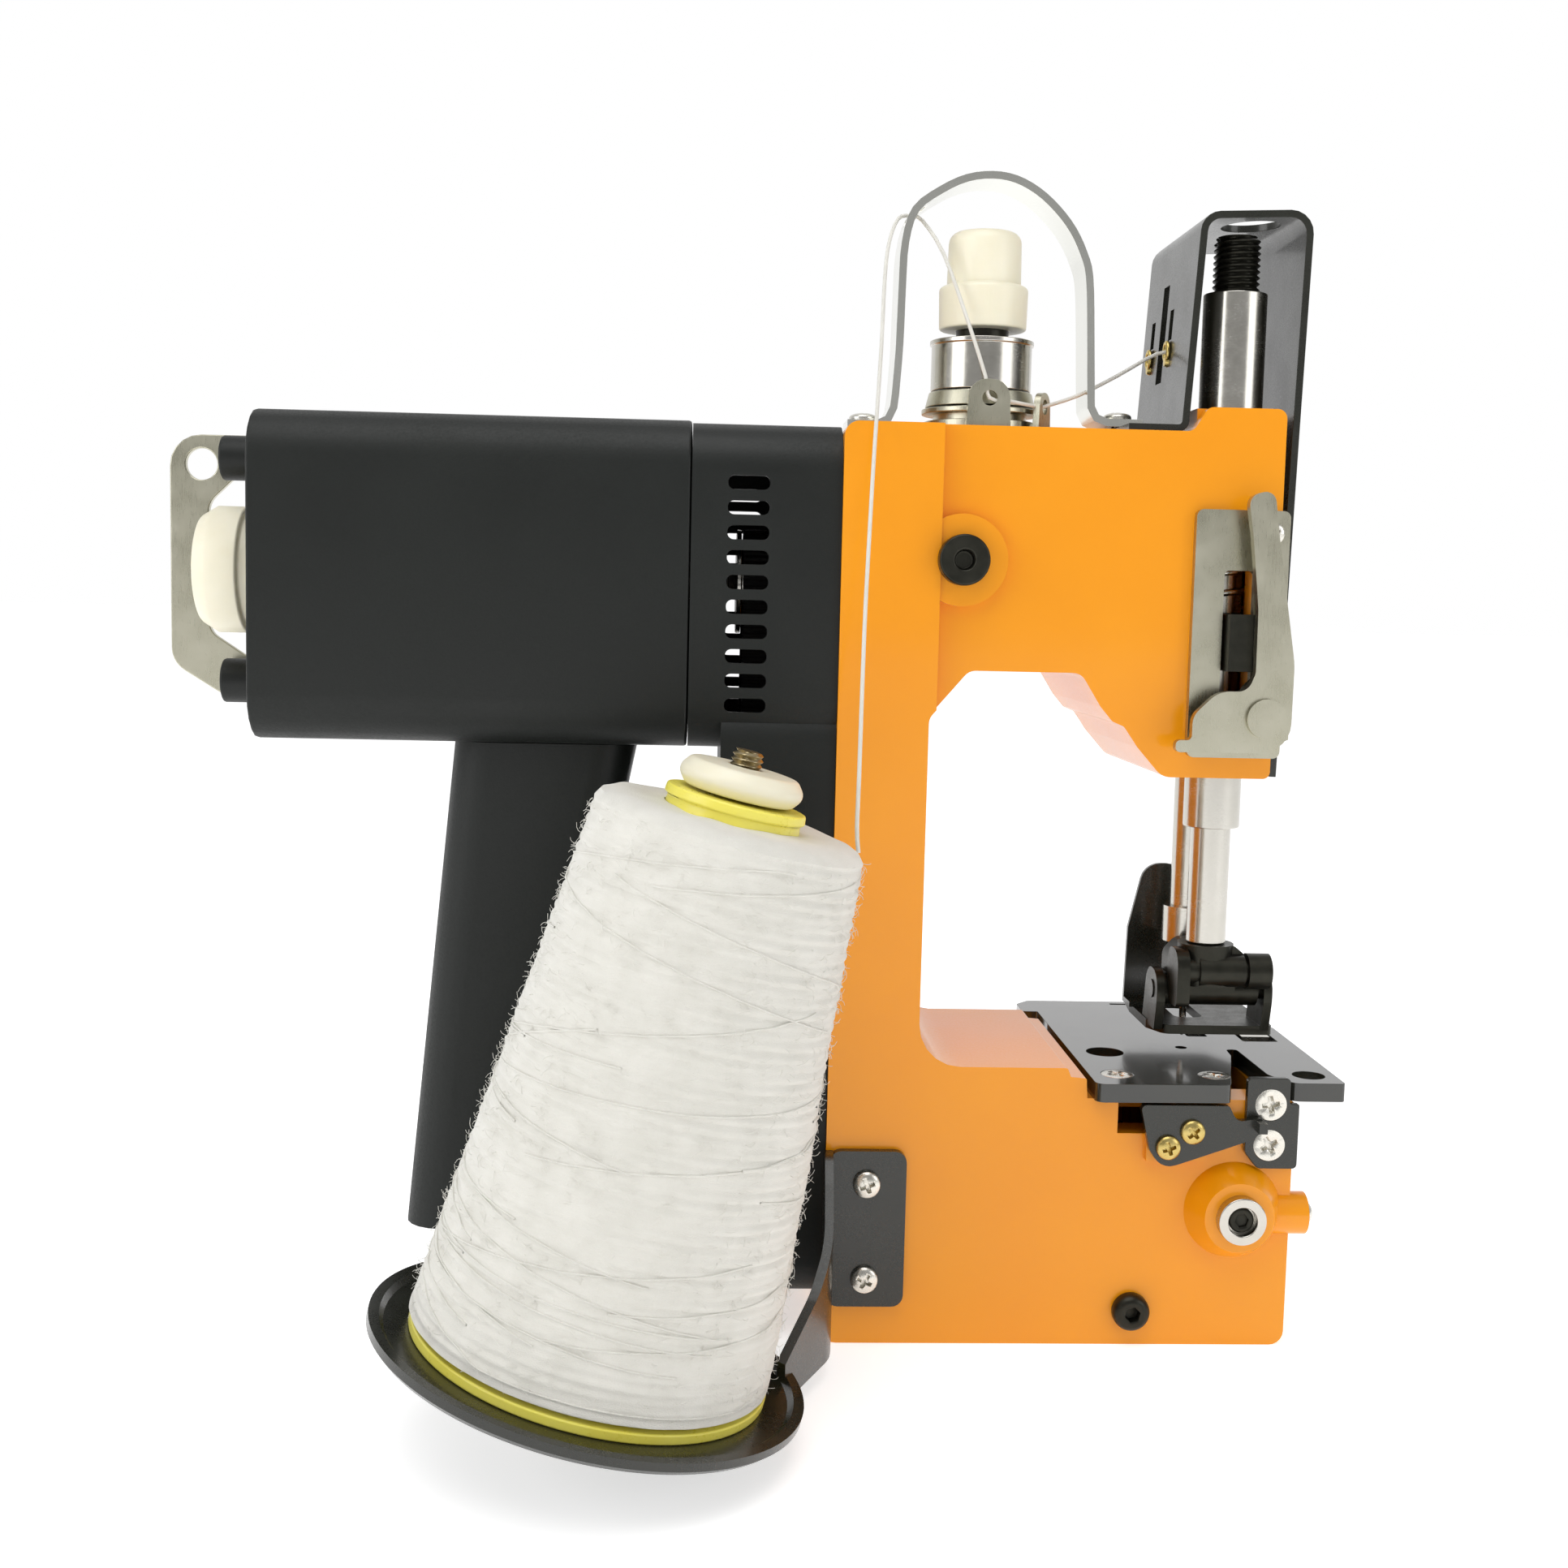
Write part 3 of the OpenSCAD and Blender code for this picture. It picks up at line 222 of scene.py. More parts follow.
def finish(name, dark, light, metallic, smooth, rough, patch_mm=14.0, grain_mm=0.6, depth_mm=0.01,
           stretch=(1, 1, 1)):
    """A material with patches of two close colours, uneven gloss and a fine grain."""
    material = bpy.data.materials.new(name)
    material.use_nodes = True
    tree = material.node_tree
    shader = tree.nodes["Principled BSDF"]
    shader.inputs["Metallic"].default_value = metallic
    spot = add(tree, "ShaderNodeTexCoord")
    drawn = add(tree, "ShaderNodeMapping", {"Vector": (spot, "Object"), "Scale": stretch})
    patches = add(tree, "ShaderNodeTexNoise", {"Vector": (spot, "Object"), "Detail": 4.0,
                                               "Scale": per_metre(patch_mm)})
    tint = add(tree, "ShaderNodeMix", {0: (patches, 0), 6: colour(dark), 7: colour(light)},
               data_type="RGBA")
    grain = add(tree, "ShaderNodeTexNoise", {"Vector": (drawn, 0), "Detail": 2.0,
                                             "Scale": per_metre(grain_mm)})
    mixed = add(tree, "ShaderNodeMath", {0: (patches, 0), 1: (grain, 0)}, operation="MULTIPLY")
    gloss = add(tree, "ShaderNodeMapRange", {"Value": (mixed, 0), "From Min": 0.1, "From Max": 0.45,
                                             "To Min": smooth, "To Max": rough})
    relief = add(tree, "ShaderNodeBump", {"Height": (grain, 0), "Strength": 1.0,
                                          "Distance": depth_mm * MM})
    tree.links.new(tint.outputs[2], shader.inputs["Base Color"])
    tree.links.new(gloss.outputs[0], shader.inputs["Roughness"])
    tree.links.new(relief.outputs[0], shader.inputs["Normal"])
    return material, tree, shader, tint, relief


def stack_bump(tree, shader, below, height, distance_mm):
    """Adds a second relief on top of the first."""
    top = add(tree, "ShaderNodeBump", {"Height": height, "Normal": (below, 0), "Strength": 1.0,
                                       "Distance": distance_mm * MM})
    tree.links.new(top.outputs[0], shader.inputs["Normal"])
    return top


print("a 0.4 mm grain needs a noise scale of", per_metre(0.4))

# %% [markdown]
# ### Gloss enamel over cast aluminium
# The casting is sprayed and stoved. The eye sees a saturated orange under a clear, slightly wavy
# skin: a coat with low roughness, and orange peel about 1.5 mm across. Where a spray is thin over
# an edge the colour is a little lighter.

# %% Orange enamel
orange_enamel, tree, shader, tint, relief = finish(
    "orange_stoved_enamel", "#e88f00", "#f09b00", 0.0, 0.30, 0.42, patch_mm=30, grain_mm=0.5,
    depth_mm=0.004)
shader.inputs["IOR"].default_value = 1.5
shader.inputs["Specular IOR Level"].default_value = 0.3
shader.inputs["Coat Weight"].default_value = 0.5
shader.inputs["Coat Roughness"].default_value = 0.08
place = add(tree, "ShaderNodeTexCoord")
peel = add(tree, "ShaderNodeTexNoise", {"Vector": (place, "Object"), "Scale": per_metre(1.6),
                                        "Detail": 1.0})
stack_bump(tree, shader, relief, (peel, 0), 0.02)
print(orange_enamel.name)

# %% [markdown]
# ### Moulded nylon
# The covers and the grip are glass-filled nylon from a spark-eroded mould. It is a warm black with
# a fine pebble about 0.5 mm across, which breaks the reflection into a soft sheen.

# %% Black and natural nylon
black_nylon, tree, shader, tint, relief = finish(
    "black_moulded_nylon", "#0d100e", "#141815", 0.0, 0.42, 0.58, patch_mm=25, grain_mm=0.55,
    depth_mm=0.03)
shader.inputs["IOR"].default_value = 1.53
shader.inputs["Specular IOR Level"].default_value = 0.32
natural_nylon, tree, shader, tint, relief = finish(
    "natural_nylon", "#e3ddc4", "#efead6", 0.0, 0.32, 0.46, patch_mm=8, grain_mm=0.4, depth_mm=0.01)
shader.inputs["IOR"].default_value = 1.53
shader.inputs["Subsurface Weight"].default_value = 0.25
shader.inputs["Subsurface Radius"].default_value = (0.003, 0.0025, 0.0018)
print(black_nylon.name, natural_nylon.name)

# %% [markdown]
# ### Black paint and black oxide
# The sheet parts are painted, with a smooth semi-gloss skin. The throat plate has a glossier coat,
# which mirrors the room at a low angle and so reads as grey. The screws and the presser foot are
# steel with an oxide finish: darker, a little brown, and with the metal's reflection under it.

# %% Black paint and oxide
black_paint, tree, shader, tint, relief = finish(
    "black_semi_gloss_paint", "#15160f", "#22231b", 0.0, 0.24, 0.36, patch_mm=9, grain_mm=0.5,
    depth_mm=0.006)
shader.inputs["IOR"].default_value = 1.5
shader.inputs["Coat Weight"].default_value = 0.3
shader.inputs["Coat Roughness"].default_value = 0.12
gloss_paint, tree, shader, tint, relief = finish(
    "black_gloss_paint", "#1a1b16", "#2a2b24", 0.0, 0.14, 0.22, patch_mm=12, grain_mm=0.6,
    depth_mm=0.004)
shader.inputs["IOR"].default_value = 1.6
shader.inputs["Coat Weight"].default_value = 0.4
shader.inputs["Coat Roughness"].default_value = 0.08
shader.inputs["Coat IOR"].default_value = 1.5
oxide_steel, tree, shader, tint, relief = finish(
    "oxide_blackened_steel", "#24241f", "#3a3932", 0.85, 0.28, 0.46, patch_mm=3, grain_mm=0.25,
    depth_mm=0.006)
print(black_paint.name, gloss_paint.name, oxide_steel.name)

# %% [markdown]
# ### Bare and plated steels
# Bars and shafts are ground, and the marks run round them. Brackets are rolled sheet with satin
# nickel: warm grey, with faint lengthwise lines 0.15 mm apart and the odd handling mark. The strap
# is polished, so its lines are much weaker.

# %% Steels
ground_steel, tree, shader, tint, relief = finish(
    "ground_steel", "#b9b6ad", "#d2cfc8", 1.0, 0.16, 0.30, patch_mm=5, grain_mm=0.9, depth_mm=0.004,
    stretch=(1, 1, 9))
satin_nickel, tree, shader, tint, relief = finish(
    "satin_nickel_plate", "#b0ad98", "#c8c5b4", 1.0, 0.24, 0.38, patch_mm=7, grain_mm=2.4,
    depth_mm=0.004, stretch=(16, 16, 1))
polished_steel, tree, shader, tint, relief = finish(
    "polished_strap_steel", "#e2e2da", "#f0f0ea", 1.0, 0.12, 0.2, patch_mm=18, grain_mm=3.0,
    depth_mm=0.002, stretch=(12, 12, 1))
zinc_plate, tree, shader, tint, relief = finish(
    "bright_zinc_plate", "#cfccc2", "#e4e1d9", 1.0, 0.22, 0.36, patch_mm=2, grain_mm=0.2,
    depth_mm=0.004)
brown_zinc, tree, shader, tint, relief = finish(
    "aged_zinc_plate", "#8a7c5c", "#b5a98a", 1.0, 0.26, 0.42, patch_mm=3, grain_mm=0.3,
    depth_mm=0.005)
yellow_zinc, tree, shader, tint, relief = finish(
    "yellow_zinc_plate", "#b59a4c", "#d9c684", 1.0, 0.24, 0.38, patch_mm=2.5, grain_mm=0.2,
    depth_mm=0.004)
print("steels:", [m.name for m in (ground_steel, satin_nickel, polished_steel, zinc_plate)])

# %% [markdown]
# ### Yellow cone, rubber, iron and carbon
# The cone is blow-moulded polypropylene, slightly see-through and glossy. The belt is ribbed
# rubber. The motor's iron is a stack of 0.5 mm sheets, so fine bands cross it.

# %% Cone, belt and motor finishes
yellow_cone, tree, shader, tint, relief = finish(
    "yellow_polypropylene", "#efe049", "#f8f07c", 0.0, 0.25, 0.38, patch_mm=12, grain_mm=0.8,
    depth_mm=0.01)
shader.inputs["IOR"].default_value = 1.49
shader.inputs["Subsurface Weight"].default_value = 0.3
shader.inputs["Subsurface Radius"].default_value = (0.004, 0.004, 0.001)
belt_rubber, tree, shader, tint, relief = finish(
    "ribbed_belt_rubber", "#0d0d0c", "#191917", 0.0, 0.6, 0.8, patch_mm=4, grain_mm=0.3, depth_mm=0.03)
place = add(tree, "ShaderNodeTexCoord")
ribs = add(tree, "ShaderNodeTexWave", {"Vector": (place, "Object"), "Scale": per_metre(2.0) / 2},
           bands_direction="Z")
stack_bump(tree, shader, relief, (ribs, 1), 0.3)
motor_iron, tree, shader, tint, relief = finish(
    "varnished_motor_iron", "#3c3a36", "#5a564e", 0.9, 0.35, 0.5, patch_mm=3, grain_mm=0.3,
    depth_mm=0.01)
place = add(tree, "ShaderNodeTexCoord")
sheets = add(tree, "ShaderNodeTexWave", {"Vector": (place, "Object"), "Scale": per_metre(1.0) / 2},
             bands_direction="X")
stack_bump(tree, shader, relief, (sheets, 1), 0.08)
carbon, tree, shader, tint, relief = finish(
    "pressed_carbon", "#171717", "#2a2a2a", 0.1, 0.4, 0.6, patch_mm=1, grain_mm=0.2, depth_mm=0.02)
print(yellow_cone.name, belt_rubber.name, motor_iron.name, carbon.name)

# %% [markdown]
# ### Spun polyester thread
# A sewing thread is two or three plies of spun fibre. Close up it is a rope with a fuzzy skin, and
# from a hand's distance only the twist and a soft edge are left. The sheen weight gives that edge.

# %% Thread finish
spun_thread, tree, shader, tint, relief = finish(
    "spun_polyester_thread", "#cfcdc4", "#e3e1da", 0.0, 0.7, 0.9, patch_mm=6, grain_mm=0.35,
    depth_mm=0.12, stretch=(1, 1, 2.5))
shader.inputs["Sheen Weight"].default_value = 0.35
shader.inputs["Subsurface Weight"].default_value = 0.15
shader.inputs["Subsurface Radius"].default_value = (0.002, 0.002, 0.002)
sewing_thread.data.materials.append(spun_thread)
print(spun_thread.name)

# %% [markdown]
# ## From a CAD solid to a finished part
# A CAD solid has knife edges, and no real part does. The cell below copies a part's mesh, joins
# the loose triangles into faces again, rounds the edges with a bevel of a real size, and keeps the
# big faces flat by turning the shading only inside the bevel. The copy replaces the CAD part, which
# stays in the model for contact.

# %% Dressing function
def link_piece(name, mesh, material, body, nodes):
    """Makes an object of a mesh, attaches it to its body and hides the CAD parts it replaces."""
    mesh.materials.clear()
    mesh.materials.append(material)
    piece = bpy.data.objects.new(name, mesh)
    bpy.context.collection.objects.link(piece)
    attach(piece, body)
    if nodes:
        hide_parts(*nodes)
    return piece


body_of = {n: b for b, names in frame["record"]["behaviour"]["bodies"].items() for n in names}


def dress(node, material, round_mm=0.4, segments=2, angle=32, join_faces=True):
    """A copy of a CAD part with rounded edges and a finish."""
    mesh = frame["nodes"][node].data.copy()
    shape = bmesh.new()
    shape.from_mesh(mesh)
    bmesh.ops.remove_doubles(shape, verts=shape.verts, dist=2e-6)
    if join_faces:
        bmesh.ops.dissolve_limit(shape, angle_limit=math.radians(0.6), verts=shape.verts,
                                 edges=shape.edges, delimit=set())
    for face in shape.faces:
        face.smooth = True
    shape.to_mesh(mesh)
    shape.free()
    for layer in ("custom_normal", "sharp_edge", "sharp_face"):
        if layer in mesh.attributes:
            mesh.attributes.remove(mesh.attributes[layer])
    piece = link_piece(node + "_finished", mesh, material, body_of[node], [node])
    edge = piece.modifiers.new("rounded_edges", "BEVEL")
    edge.width = round_mm * MM
    edge.segments = segments
    edge.limit_method = "ANGLE"
    edge.angle_limit = math.radians(angle)
    edge.use_clamp_overlap = True
    edge.harden_normals = True
    edge.miter_outer = "MITER_ARC"
    return piece


# %% [markdown]
# ## Casting and sheet parts
# Each row gives a part, its finish and the radius of its edges in millimetres. A die casting has
# about 0.8 mm, moulded covers about the same, stamped sheet 0.2 to 0.3 mm, and turned steel a fine
# broken edge.

# %% Parts with their own shape
rows = [
    ("frame_casting", orange_enamel, 1.2), ("rear_cover", orange_enamel, 0.5),
    ("housing_front", black_nylon, 0.6),
    ("housing_rear", black_nylon, 0.6), ("handle_front", black_nylon, 0.7),
    ("handle_rear", black_nylon, 0.7), ("trigger", black_nylon, 0.5), ("switch_body", black_nylon, 0.4),
    ("inlet_gland", black_nylon, 0.4), ("fan", black_nylon, 0.2), ("driven_pulley", black_nylon, 0.3),
    ("stator", motor_iron, 0.3), ("armature", motor_iron, 0.2), ("carbon_brushes", carbon, 0.2),
    ("motor_pulley", ground_steel, 0.2), ("bearing_frames", satin_nickel, 0.3),
    ("drive_belt", belt_rubber, 0.2), ("main_shaft", ground_steel, 0.3),
    ("plain_bushes", ground_steel, 0.3), ("connecting_rod", ground_steel, 0.4),
    ("needle_lever", ground_steel, 0.5), ("lever_pivot_screw", oxide_steel, 0.5),
    ("needle_bar", ground_steel, 0.3), ("presser_bar", ground_steel, 0.4),
    ("spring_sleeve", ground_steel, 0.3), ("lift_block", oxide_steel, 0.4),
    ("lifter_plate", satin_nickel, 0.25), ("lifter_lever", satin_nickel, 0.35),
    ("presser_foot", oxide_steel, 0.3), ("foot_shank", oxide_steel, 0.3),
    ("finger_guard", black_paint, 0.2), ("throat_plate", gloss_paint, 0.4),
    ("feed_dog", ground_steel, 0.15), ("looper", ground_steel, 0.4), ("thread_cutter", black_paint, 0.2),
    ("hook_plate", black_paint, 0.2), ("tension_discs", satin_nickel, 0.25),
    ("tension_cup", ground_steel, 0.25), ("thread_guide", satin_nickel, 0.2),
    ("carry_handle", polished_steel, 0.7), ("needle_guard", black_paint, 0.25),
    ("spool_tray", black_paint, 0.35),
    ("cone_core", yellow_cone, 0.5), ("hang_plate", satin_nickel, 0.3),
    ("hand_wheel", natural_nylon, 0.5), ("tension_knob", natural_nylon, 0.4),
    ("spool_nut", natural_nylon, 0.5), ("needle", ground_steel, 0.05)]
parts = {name: dress(name, material, round_mm) for name, material, round_mm in rows}
parts["belt_cover"] = dress("belt_cover", black_nylon, 0.35, join_faces=False)
for name in ("presser_spring", "tension_spring"):
    parts[name] = dress(name, ground_steel, 0.05, angle=80)
print("dressed:", len(parts))
# %% [markdown]
# ## Screws
# A screw head tells the eye how big everything is, so it is worth its recess. Each head is turned
# from a profile and the driver's recess is then cut out of it with a boolean, as a punch would do.
# One head of each kind is made, and copies of it are placed on the axes of the CAD screws.

# %% Turning and cutting helpers
def turned(profile, steps=40):
    """A mesh of revolution about Z from (radius, height) pairs, in millimetres."""
    shape = bmesh.new()
    rings = []
    for radius, height in profile:
        if radius < 1e-6:
            rings.append([shape.verts.new((0, 0, height * MM))])
            continue
        rings.append([shape.verts.new((radius * MM * math.cos(math.tau * k / steps),
                                       radius * MM * math.sin(math.tau * k / steps), height * MM))
                      for k in range(steps)])
    for low, high in zip(rings, rings[1:]):
        for k in range(steps):
            n = (k + 1) % steps
            corners = [low[k % len(low)], low[n % len(low)], high[n % len(high)], high[k % len(high)]]
            corners = [c for i, c in enumerate(corners) if c not in corners[:i]]
            if len(corners) > 2:
                shape.faces.new(corners)
    bmesh.ops.recalc_face_normals(shape, faces=shape.faces)
    mesh = bpy.data.meshes.new("turned")
    shape.to_mesh(mesh)
    shape.free()
    return mesh


def prism(outline, z0, z1, taper=1.0):
    """A solid from an outline in millimetres; taper scales its lower end."""
    shape = bmesh.new()
    low = [shape.verts.new((x * taper * MM, y * taper * MM, z0 * MM)) for x, y in outline]
    high = [shape.verts.new((x * MM, y * MM, z1 * MM)) for x, y in outline]
    shape.faces.new(low[::-1])
    shape.faces.new(high)
    for k in range(len(outline)):
        n = (k + 1) % len(outline)
        shape.faces.new((low[k], low[n], high[n], high[k]))
    bmesh.ops.recalc_face_normals(shape, faces=shape.faces)
    mesh = bpy.data.meshes.new("prism")
    shape.to_mesh(mesh)
    shape.free()
    return mesh


def cut(body_mesh, tool_mesh, edge_mm=0.08):
    """The first mesh with the second cut out of it and its new edges broken."""
    body = bpy.data.objects.new("blank", body_mesh)
    tool = bpy.data.objects.new("punch", tool_mesh)
    for o in (body, tool):
        bpy.context.collection.objects.link(o)
    punch = body.modifiers.new("punch", "BOOLEAN")
    punch.object = tool
    punch.solver = "EXACT"
    edge = body.modifiers.new("edge", "BEVEL")
    edge.width = edge_mm * MM
    edge.segments = 2
    edge.angle_limit = math.radians(40)
    edge.harden_normals = True
    for polygon in body_mesh.polygons:
        polygon.use_smooth = True
    graph = bpy.context.evaluated_depsgraph_get()
    made = bpy.data.meshes.new_from_object(body.evaluated_get(graph))
    for o in (body, tool):
        bpy.data.objects.remove(o)
    return made


def cross(arm, width):
    """The outline of a cross recess."""
    w = width / 2
    return [(arm, -w), (arm, w), (w * 1.2, w * 1.2), (w, arm), (-w, arm), (-w * 1.2, w * 1.2), (-arm, w),
            (-arm, -w), (-w * 1.2, -w * 1.2), (-w, -arm), (w, -arm), (w * 1.2, -w * 1.2)]


def hexagon(across):
    """The outline of a hexagon of this width across its flats."""
    r = across / math.sqrt(3)
    return [(r * math.cos(math.tau * k / 6), r * math.sin(math.tau * k / 6)) for k in range(6)]


def pan_head(d, h):
    """A domed head with a cross recess, its seat at height 0."""
    r = d / 2
    dome = [(r * math.cos(a), h * (0.45 + 0.55 * math.sin(a))) for a in
            [math.radians(v) for v in range(0, 90, 12)]]
    blank = turned([(0, 0), (r * 0.96, 0), (r, h * 0.1)] + dome + [(0, h)])
    return cut(blank, prism(cross(d * 0.33, d * 0.165), h * 0.15, h + 1, 0.7))


def flat_head(d, h):
    """A countersunk head with a cross recess, its face at height 0."""
    blank = turned([(0, -h), (d * 0.27, -h), (d / 2, -0.15), (d / 2, 0), (0, 0)])
    return cut(blank, prism(cross(d * 0.33, d * 0.17), -h * 0.8, 1, 0.65))


def socket_head(d, h, across):
    """A button head with a hexagon socket, its seat at height 0."""
    r = d / 2
    dome = [(r - (1 - math.cos(a)) * h * 0.55, h * (0.42 + 0.58 * math.sin(a))) for a in
            [math.radians(v) for v in range(0, 91, 15)]]
    blank = turned([(0, 0), (r, 0)] + dome + [(0, h)])
    return cut(blank, prism(hexagon(across), h * 0.25, h + 1, 0.97))


def placed(name, copies, material, body, nodes):
    """One piece made of meshes that are each moved by their own matrix."""
    shape = bmesh.new()
    for mesh, matrix in copies:
        moved = mesh.copy()
        moved.transform(matrix)
        shape.from_mesh(moved)
    mesh = bpy.data.meshes.new(name)
    shape.to_mesh(mesh)
    shape.free()
    for polygon in mesh.polygons:
        polygon.use_smooth = True
    mesh.set_sharp_from_angle(angle=math.radians(38))
    return link_piece(name, mesh, material, body, nodes)


def facing(x, y, z, axis, turn_deg=0):
    """A matrix that stands a head at a point in millimetres, with its top along an axis."""
    up = Vector(axis).to_track_quat("Z", "Y").to_matrix().to_4x4()
    return Matrix.Translation(Vector((x, y, z)) * MM) @ up @ Matrix.Rotation(math.radians(turn_deg), 4, "Z")


print("helpers ready")

# %% Cross-recess screws
TO_VIEWER = (0, -1, 0)
UP = (0, 0, 1)
tray_head = pan_head(5.8, 1.9)
strap_head = pan_head(6.0, 1.9)
plate_head = pan_head(4.6, 1.0)
placed("zinc_pan_screws",
       [(tray_head, facing(-41.4, -30, 35.6, TO_VIEWER, 20)),
        (tray_head, facing(-41.4, -30, 14.9, TO_VIEWER, 62)),
        (strap_head, facing(-44.6, -7, 196.1, UP, 10)), (strap_head, facing(10.4, -7, 197.7, UP, 40)),
        (plate_head, facing(39.6, -27, 173.8, TO_VIEWER, 30))],
       zinc_plate, "frame", ["pan_screws"])
wide_head = flat_head(6.8, 1.6)
placed("zinc_flat_screws",
       [(wide_head, facing(12.7, -22.7, 58, UP, 30)), (wide_head, facing(33.8, -22.7, 58, UP, 12)),
        (wide_head, facing(44.4, -29.6, 53.4, TO_VIEWER, 8)),
        (wide_head, facing(44.4, -29.6, 44.6, TO_VIEWER, 28))],
       zinc_plate, "frame", ["flat_screws"])
small_head = pan_head(5.2, 1.6)
placed("yellow_cutter_screws",
       [(small_head, facing(22.1, -31.5, 44.6, TO_VIEWER, 18)),
        (small_head, facing(27.2, -31.5, 48, TO_VIEWER, 40))],
       yellow_zinc, "frame", ["cutter_screws"])
print("cross-recess screws: 11")

# %% [markdown]
# ### Socket screws
# The lever's pivot, the base screw and the rear cover's screws have button heads with a hexagon socket. New
# heads are made for the base screw, the rear cover's screws and two plate nuts; the pivot is the dressed CAD
# part.

# %% Socket screws
base_head = socket_head(8.0, 3.0, 3.0)
rear_head = socket_head(6.0, 2.5, 2.5)
plate_nut = socket_head(5.6, 2.0, 2.5)
AWAY = (0, 1, 0)
placed("black_socket_screws",
       [(base_head, facing(16.3, -28, 7.6, TO_VIEWER, 15))]
       + [(rear_head, facing(x, 28, z, AWAY, 20)) for x, z in ((-40, 8), (40, 8), (-40, 185), (30, 185))]
       + [(plate_nut, facing(-178, 17.2, z, AWAY, 5)) for z in (187.6, 138)],
       oxide_steel, "frame", ["cap_screws"])
print("socket screws: 7")

# %% [markdown]
# ### Looper boss
# The looper's shaft ends in a socket screw that turns with it, and a small plated dome closes the
# boss beside it. Both are turned profiles, so one outline spun about its axis is enough.

# %% Looper boss
placed("looper_shaft_screw", [(socket_head(5.4, 0.9, 2.6), facing(37.5, -34.5, 30, TO_VIEWER, 10))],
       oxide_steel, "looper_arm", [])
dome_plug = turned([(0, 0), (2.5, 0), (2.4, 0.6), (1.9, 1.3), (1.1, 1.75), (0, 1.9)])
placed("side_boss_dome", [(dome_plug, facing(53.5, -26.5, 29, (1, 0, 0)))], zinc_plate, "frame",
       [])
print("looper boss pieces: 2")

# %% [markdown]
# ## Screw threads
# A thread is one groove that winds round a rod. The mesh below is a fine grid round the rod whose
# radius falls and rises with the height less the turn, so that one turn climbs one pitch.

# %% Threaded rod
def threaded(radius, pitch, depth, z0, z1, around=48, per_turn=8):
    """A threaded cylinder about Z, in millimetres, closed at both ends."""
    rows = int((z1 - z0) / pitch * per_turn)
    shape = bmesh.new()
    grid = []
    for i in range(rows + 1):
        z = z0 + (z1 - z0) * i / rows
        fade = min(1, i / per_turn, (rows - i) / per_turn)
        ring = []
        for k in range(around):
            phase = (z / pitch - k / around) % 1
            r = (radius - depth * (1 - abs(2 * phase - 1)) - (1 - fade) * depth * 0.6) * MM
            a = math.tau * k / around
            ring.append(shape.verts.new((r * math.cos(a), r * math.sin(a), z * MM)))
        grid.append(ring)
    for low, high in zip(grid, grid[1:]):
        for k in range(around):
            n = (k + 1) % around
            shape.faces.new((low[k], low[n], high[n], high[k]))
    shape.faces.new(grid[0][::-1])
    shape.faces.new(grid[-1])
    mesh = bpy.data.meshes.new("threaded")
    shape.to_mesh(mesh)
    shape.free()
    return mesh


screw_axis = Matrix.Translation(Vector((33, -14, 0)) * MM)
driver_slot = prism([(-6, -0.7), (6, -0.7), (6, 0.7), (-6, 0.7)], 234, 240)
slotted = cut(threaded(4.95, 1.25, 0.75, 209, 235.8), driver_slot, 0.05)
placed("pressure_adjusting_screw", [(slotted, screw_axis)], oxide_steel, "adjuster",
       ["pressure_screw"])
SPOOL_LEAN_DEG = 13.75
spool_place = (Matrix.Translation(Vector((-97.5, -75, 15.5)) * MM)
               @ Matrix.Rotation(math.radians(SPOOL_LEAN_DEG), 4, "Y"))
post_top = threaded(2.98, 1.0, 0.55, 96, 118.4)
post_rod = turned([(0, -2), (2.9, -2), (2.95, 96.5), (0, 96.5)])
post_seat = prism(hexagon(10), -3.4, 0)
placed("threaded_spool_post", [(post_rod, spool_place), (post_top, spool_place), (post_seat, spool_place)],
       brown_zinc, "frame", ["spool_post"])
print("threads: 1.25 mm and 1.0 mm pitch")

# %% [markdown]
# ## The wound thread
# The winding is about four hundred metres of thread laid in crossing spirals. Its surface is a
# row of low ridges, uneven where one layer ends on another, and its top edge is a soft lip. A
# turned mesh carries that relief, a few loose outer turns lie on it as real strands, and a halo
# of short fibres gives the silhouette its fuzz.

# %% Winding
FOOT_R = 34.6
TOP_R = 25.2
FOOT_Z = 4.2
TOP_Z = 106.0


def winding_radius(z, angle):
    """The winding's outer radius in millimetres at a height and an angle."""
    t = (z - FOOT_Z) / (TOP_Z - FOOT_Z)
    r = FOOT_R + (TOP_R - FOOT_R) * t
    spiral = math.sin(math.tau * (z / 1.9 - 0.5 * angle / math.tau))
    crossing = math.sin(math.tau * (z / 2.7 + 3 * angle / math.tau))
    layer = noise.noise(Vector((math.cos(angle) * 1.3, math.sin(angle) * 1.3, z * 0.09)))
    fine = noise.noise(Vector((math.cos(angle) * 9, math.sin(angle) * 9, z * 0.9)))
    return r - 0.35 + 0.12 * spiral + 0.09 * crossing + 0.32 * layer + 0.12 * fine


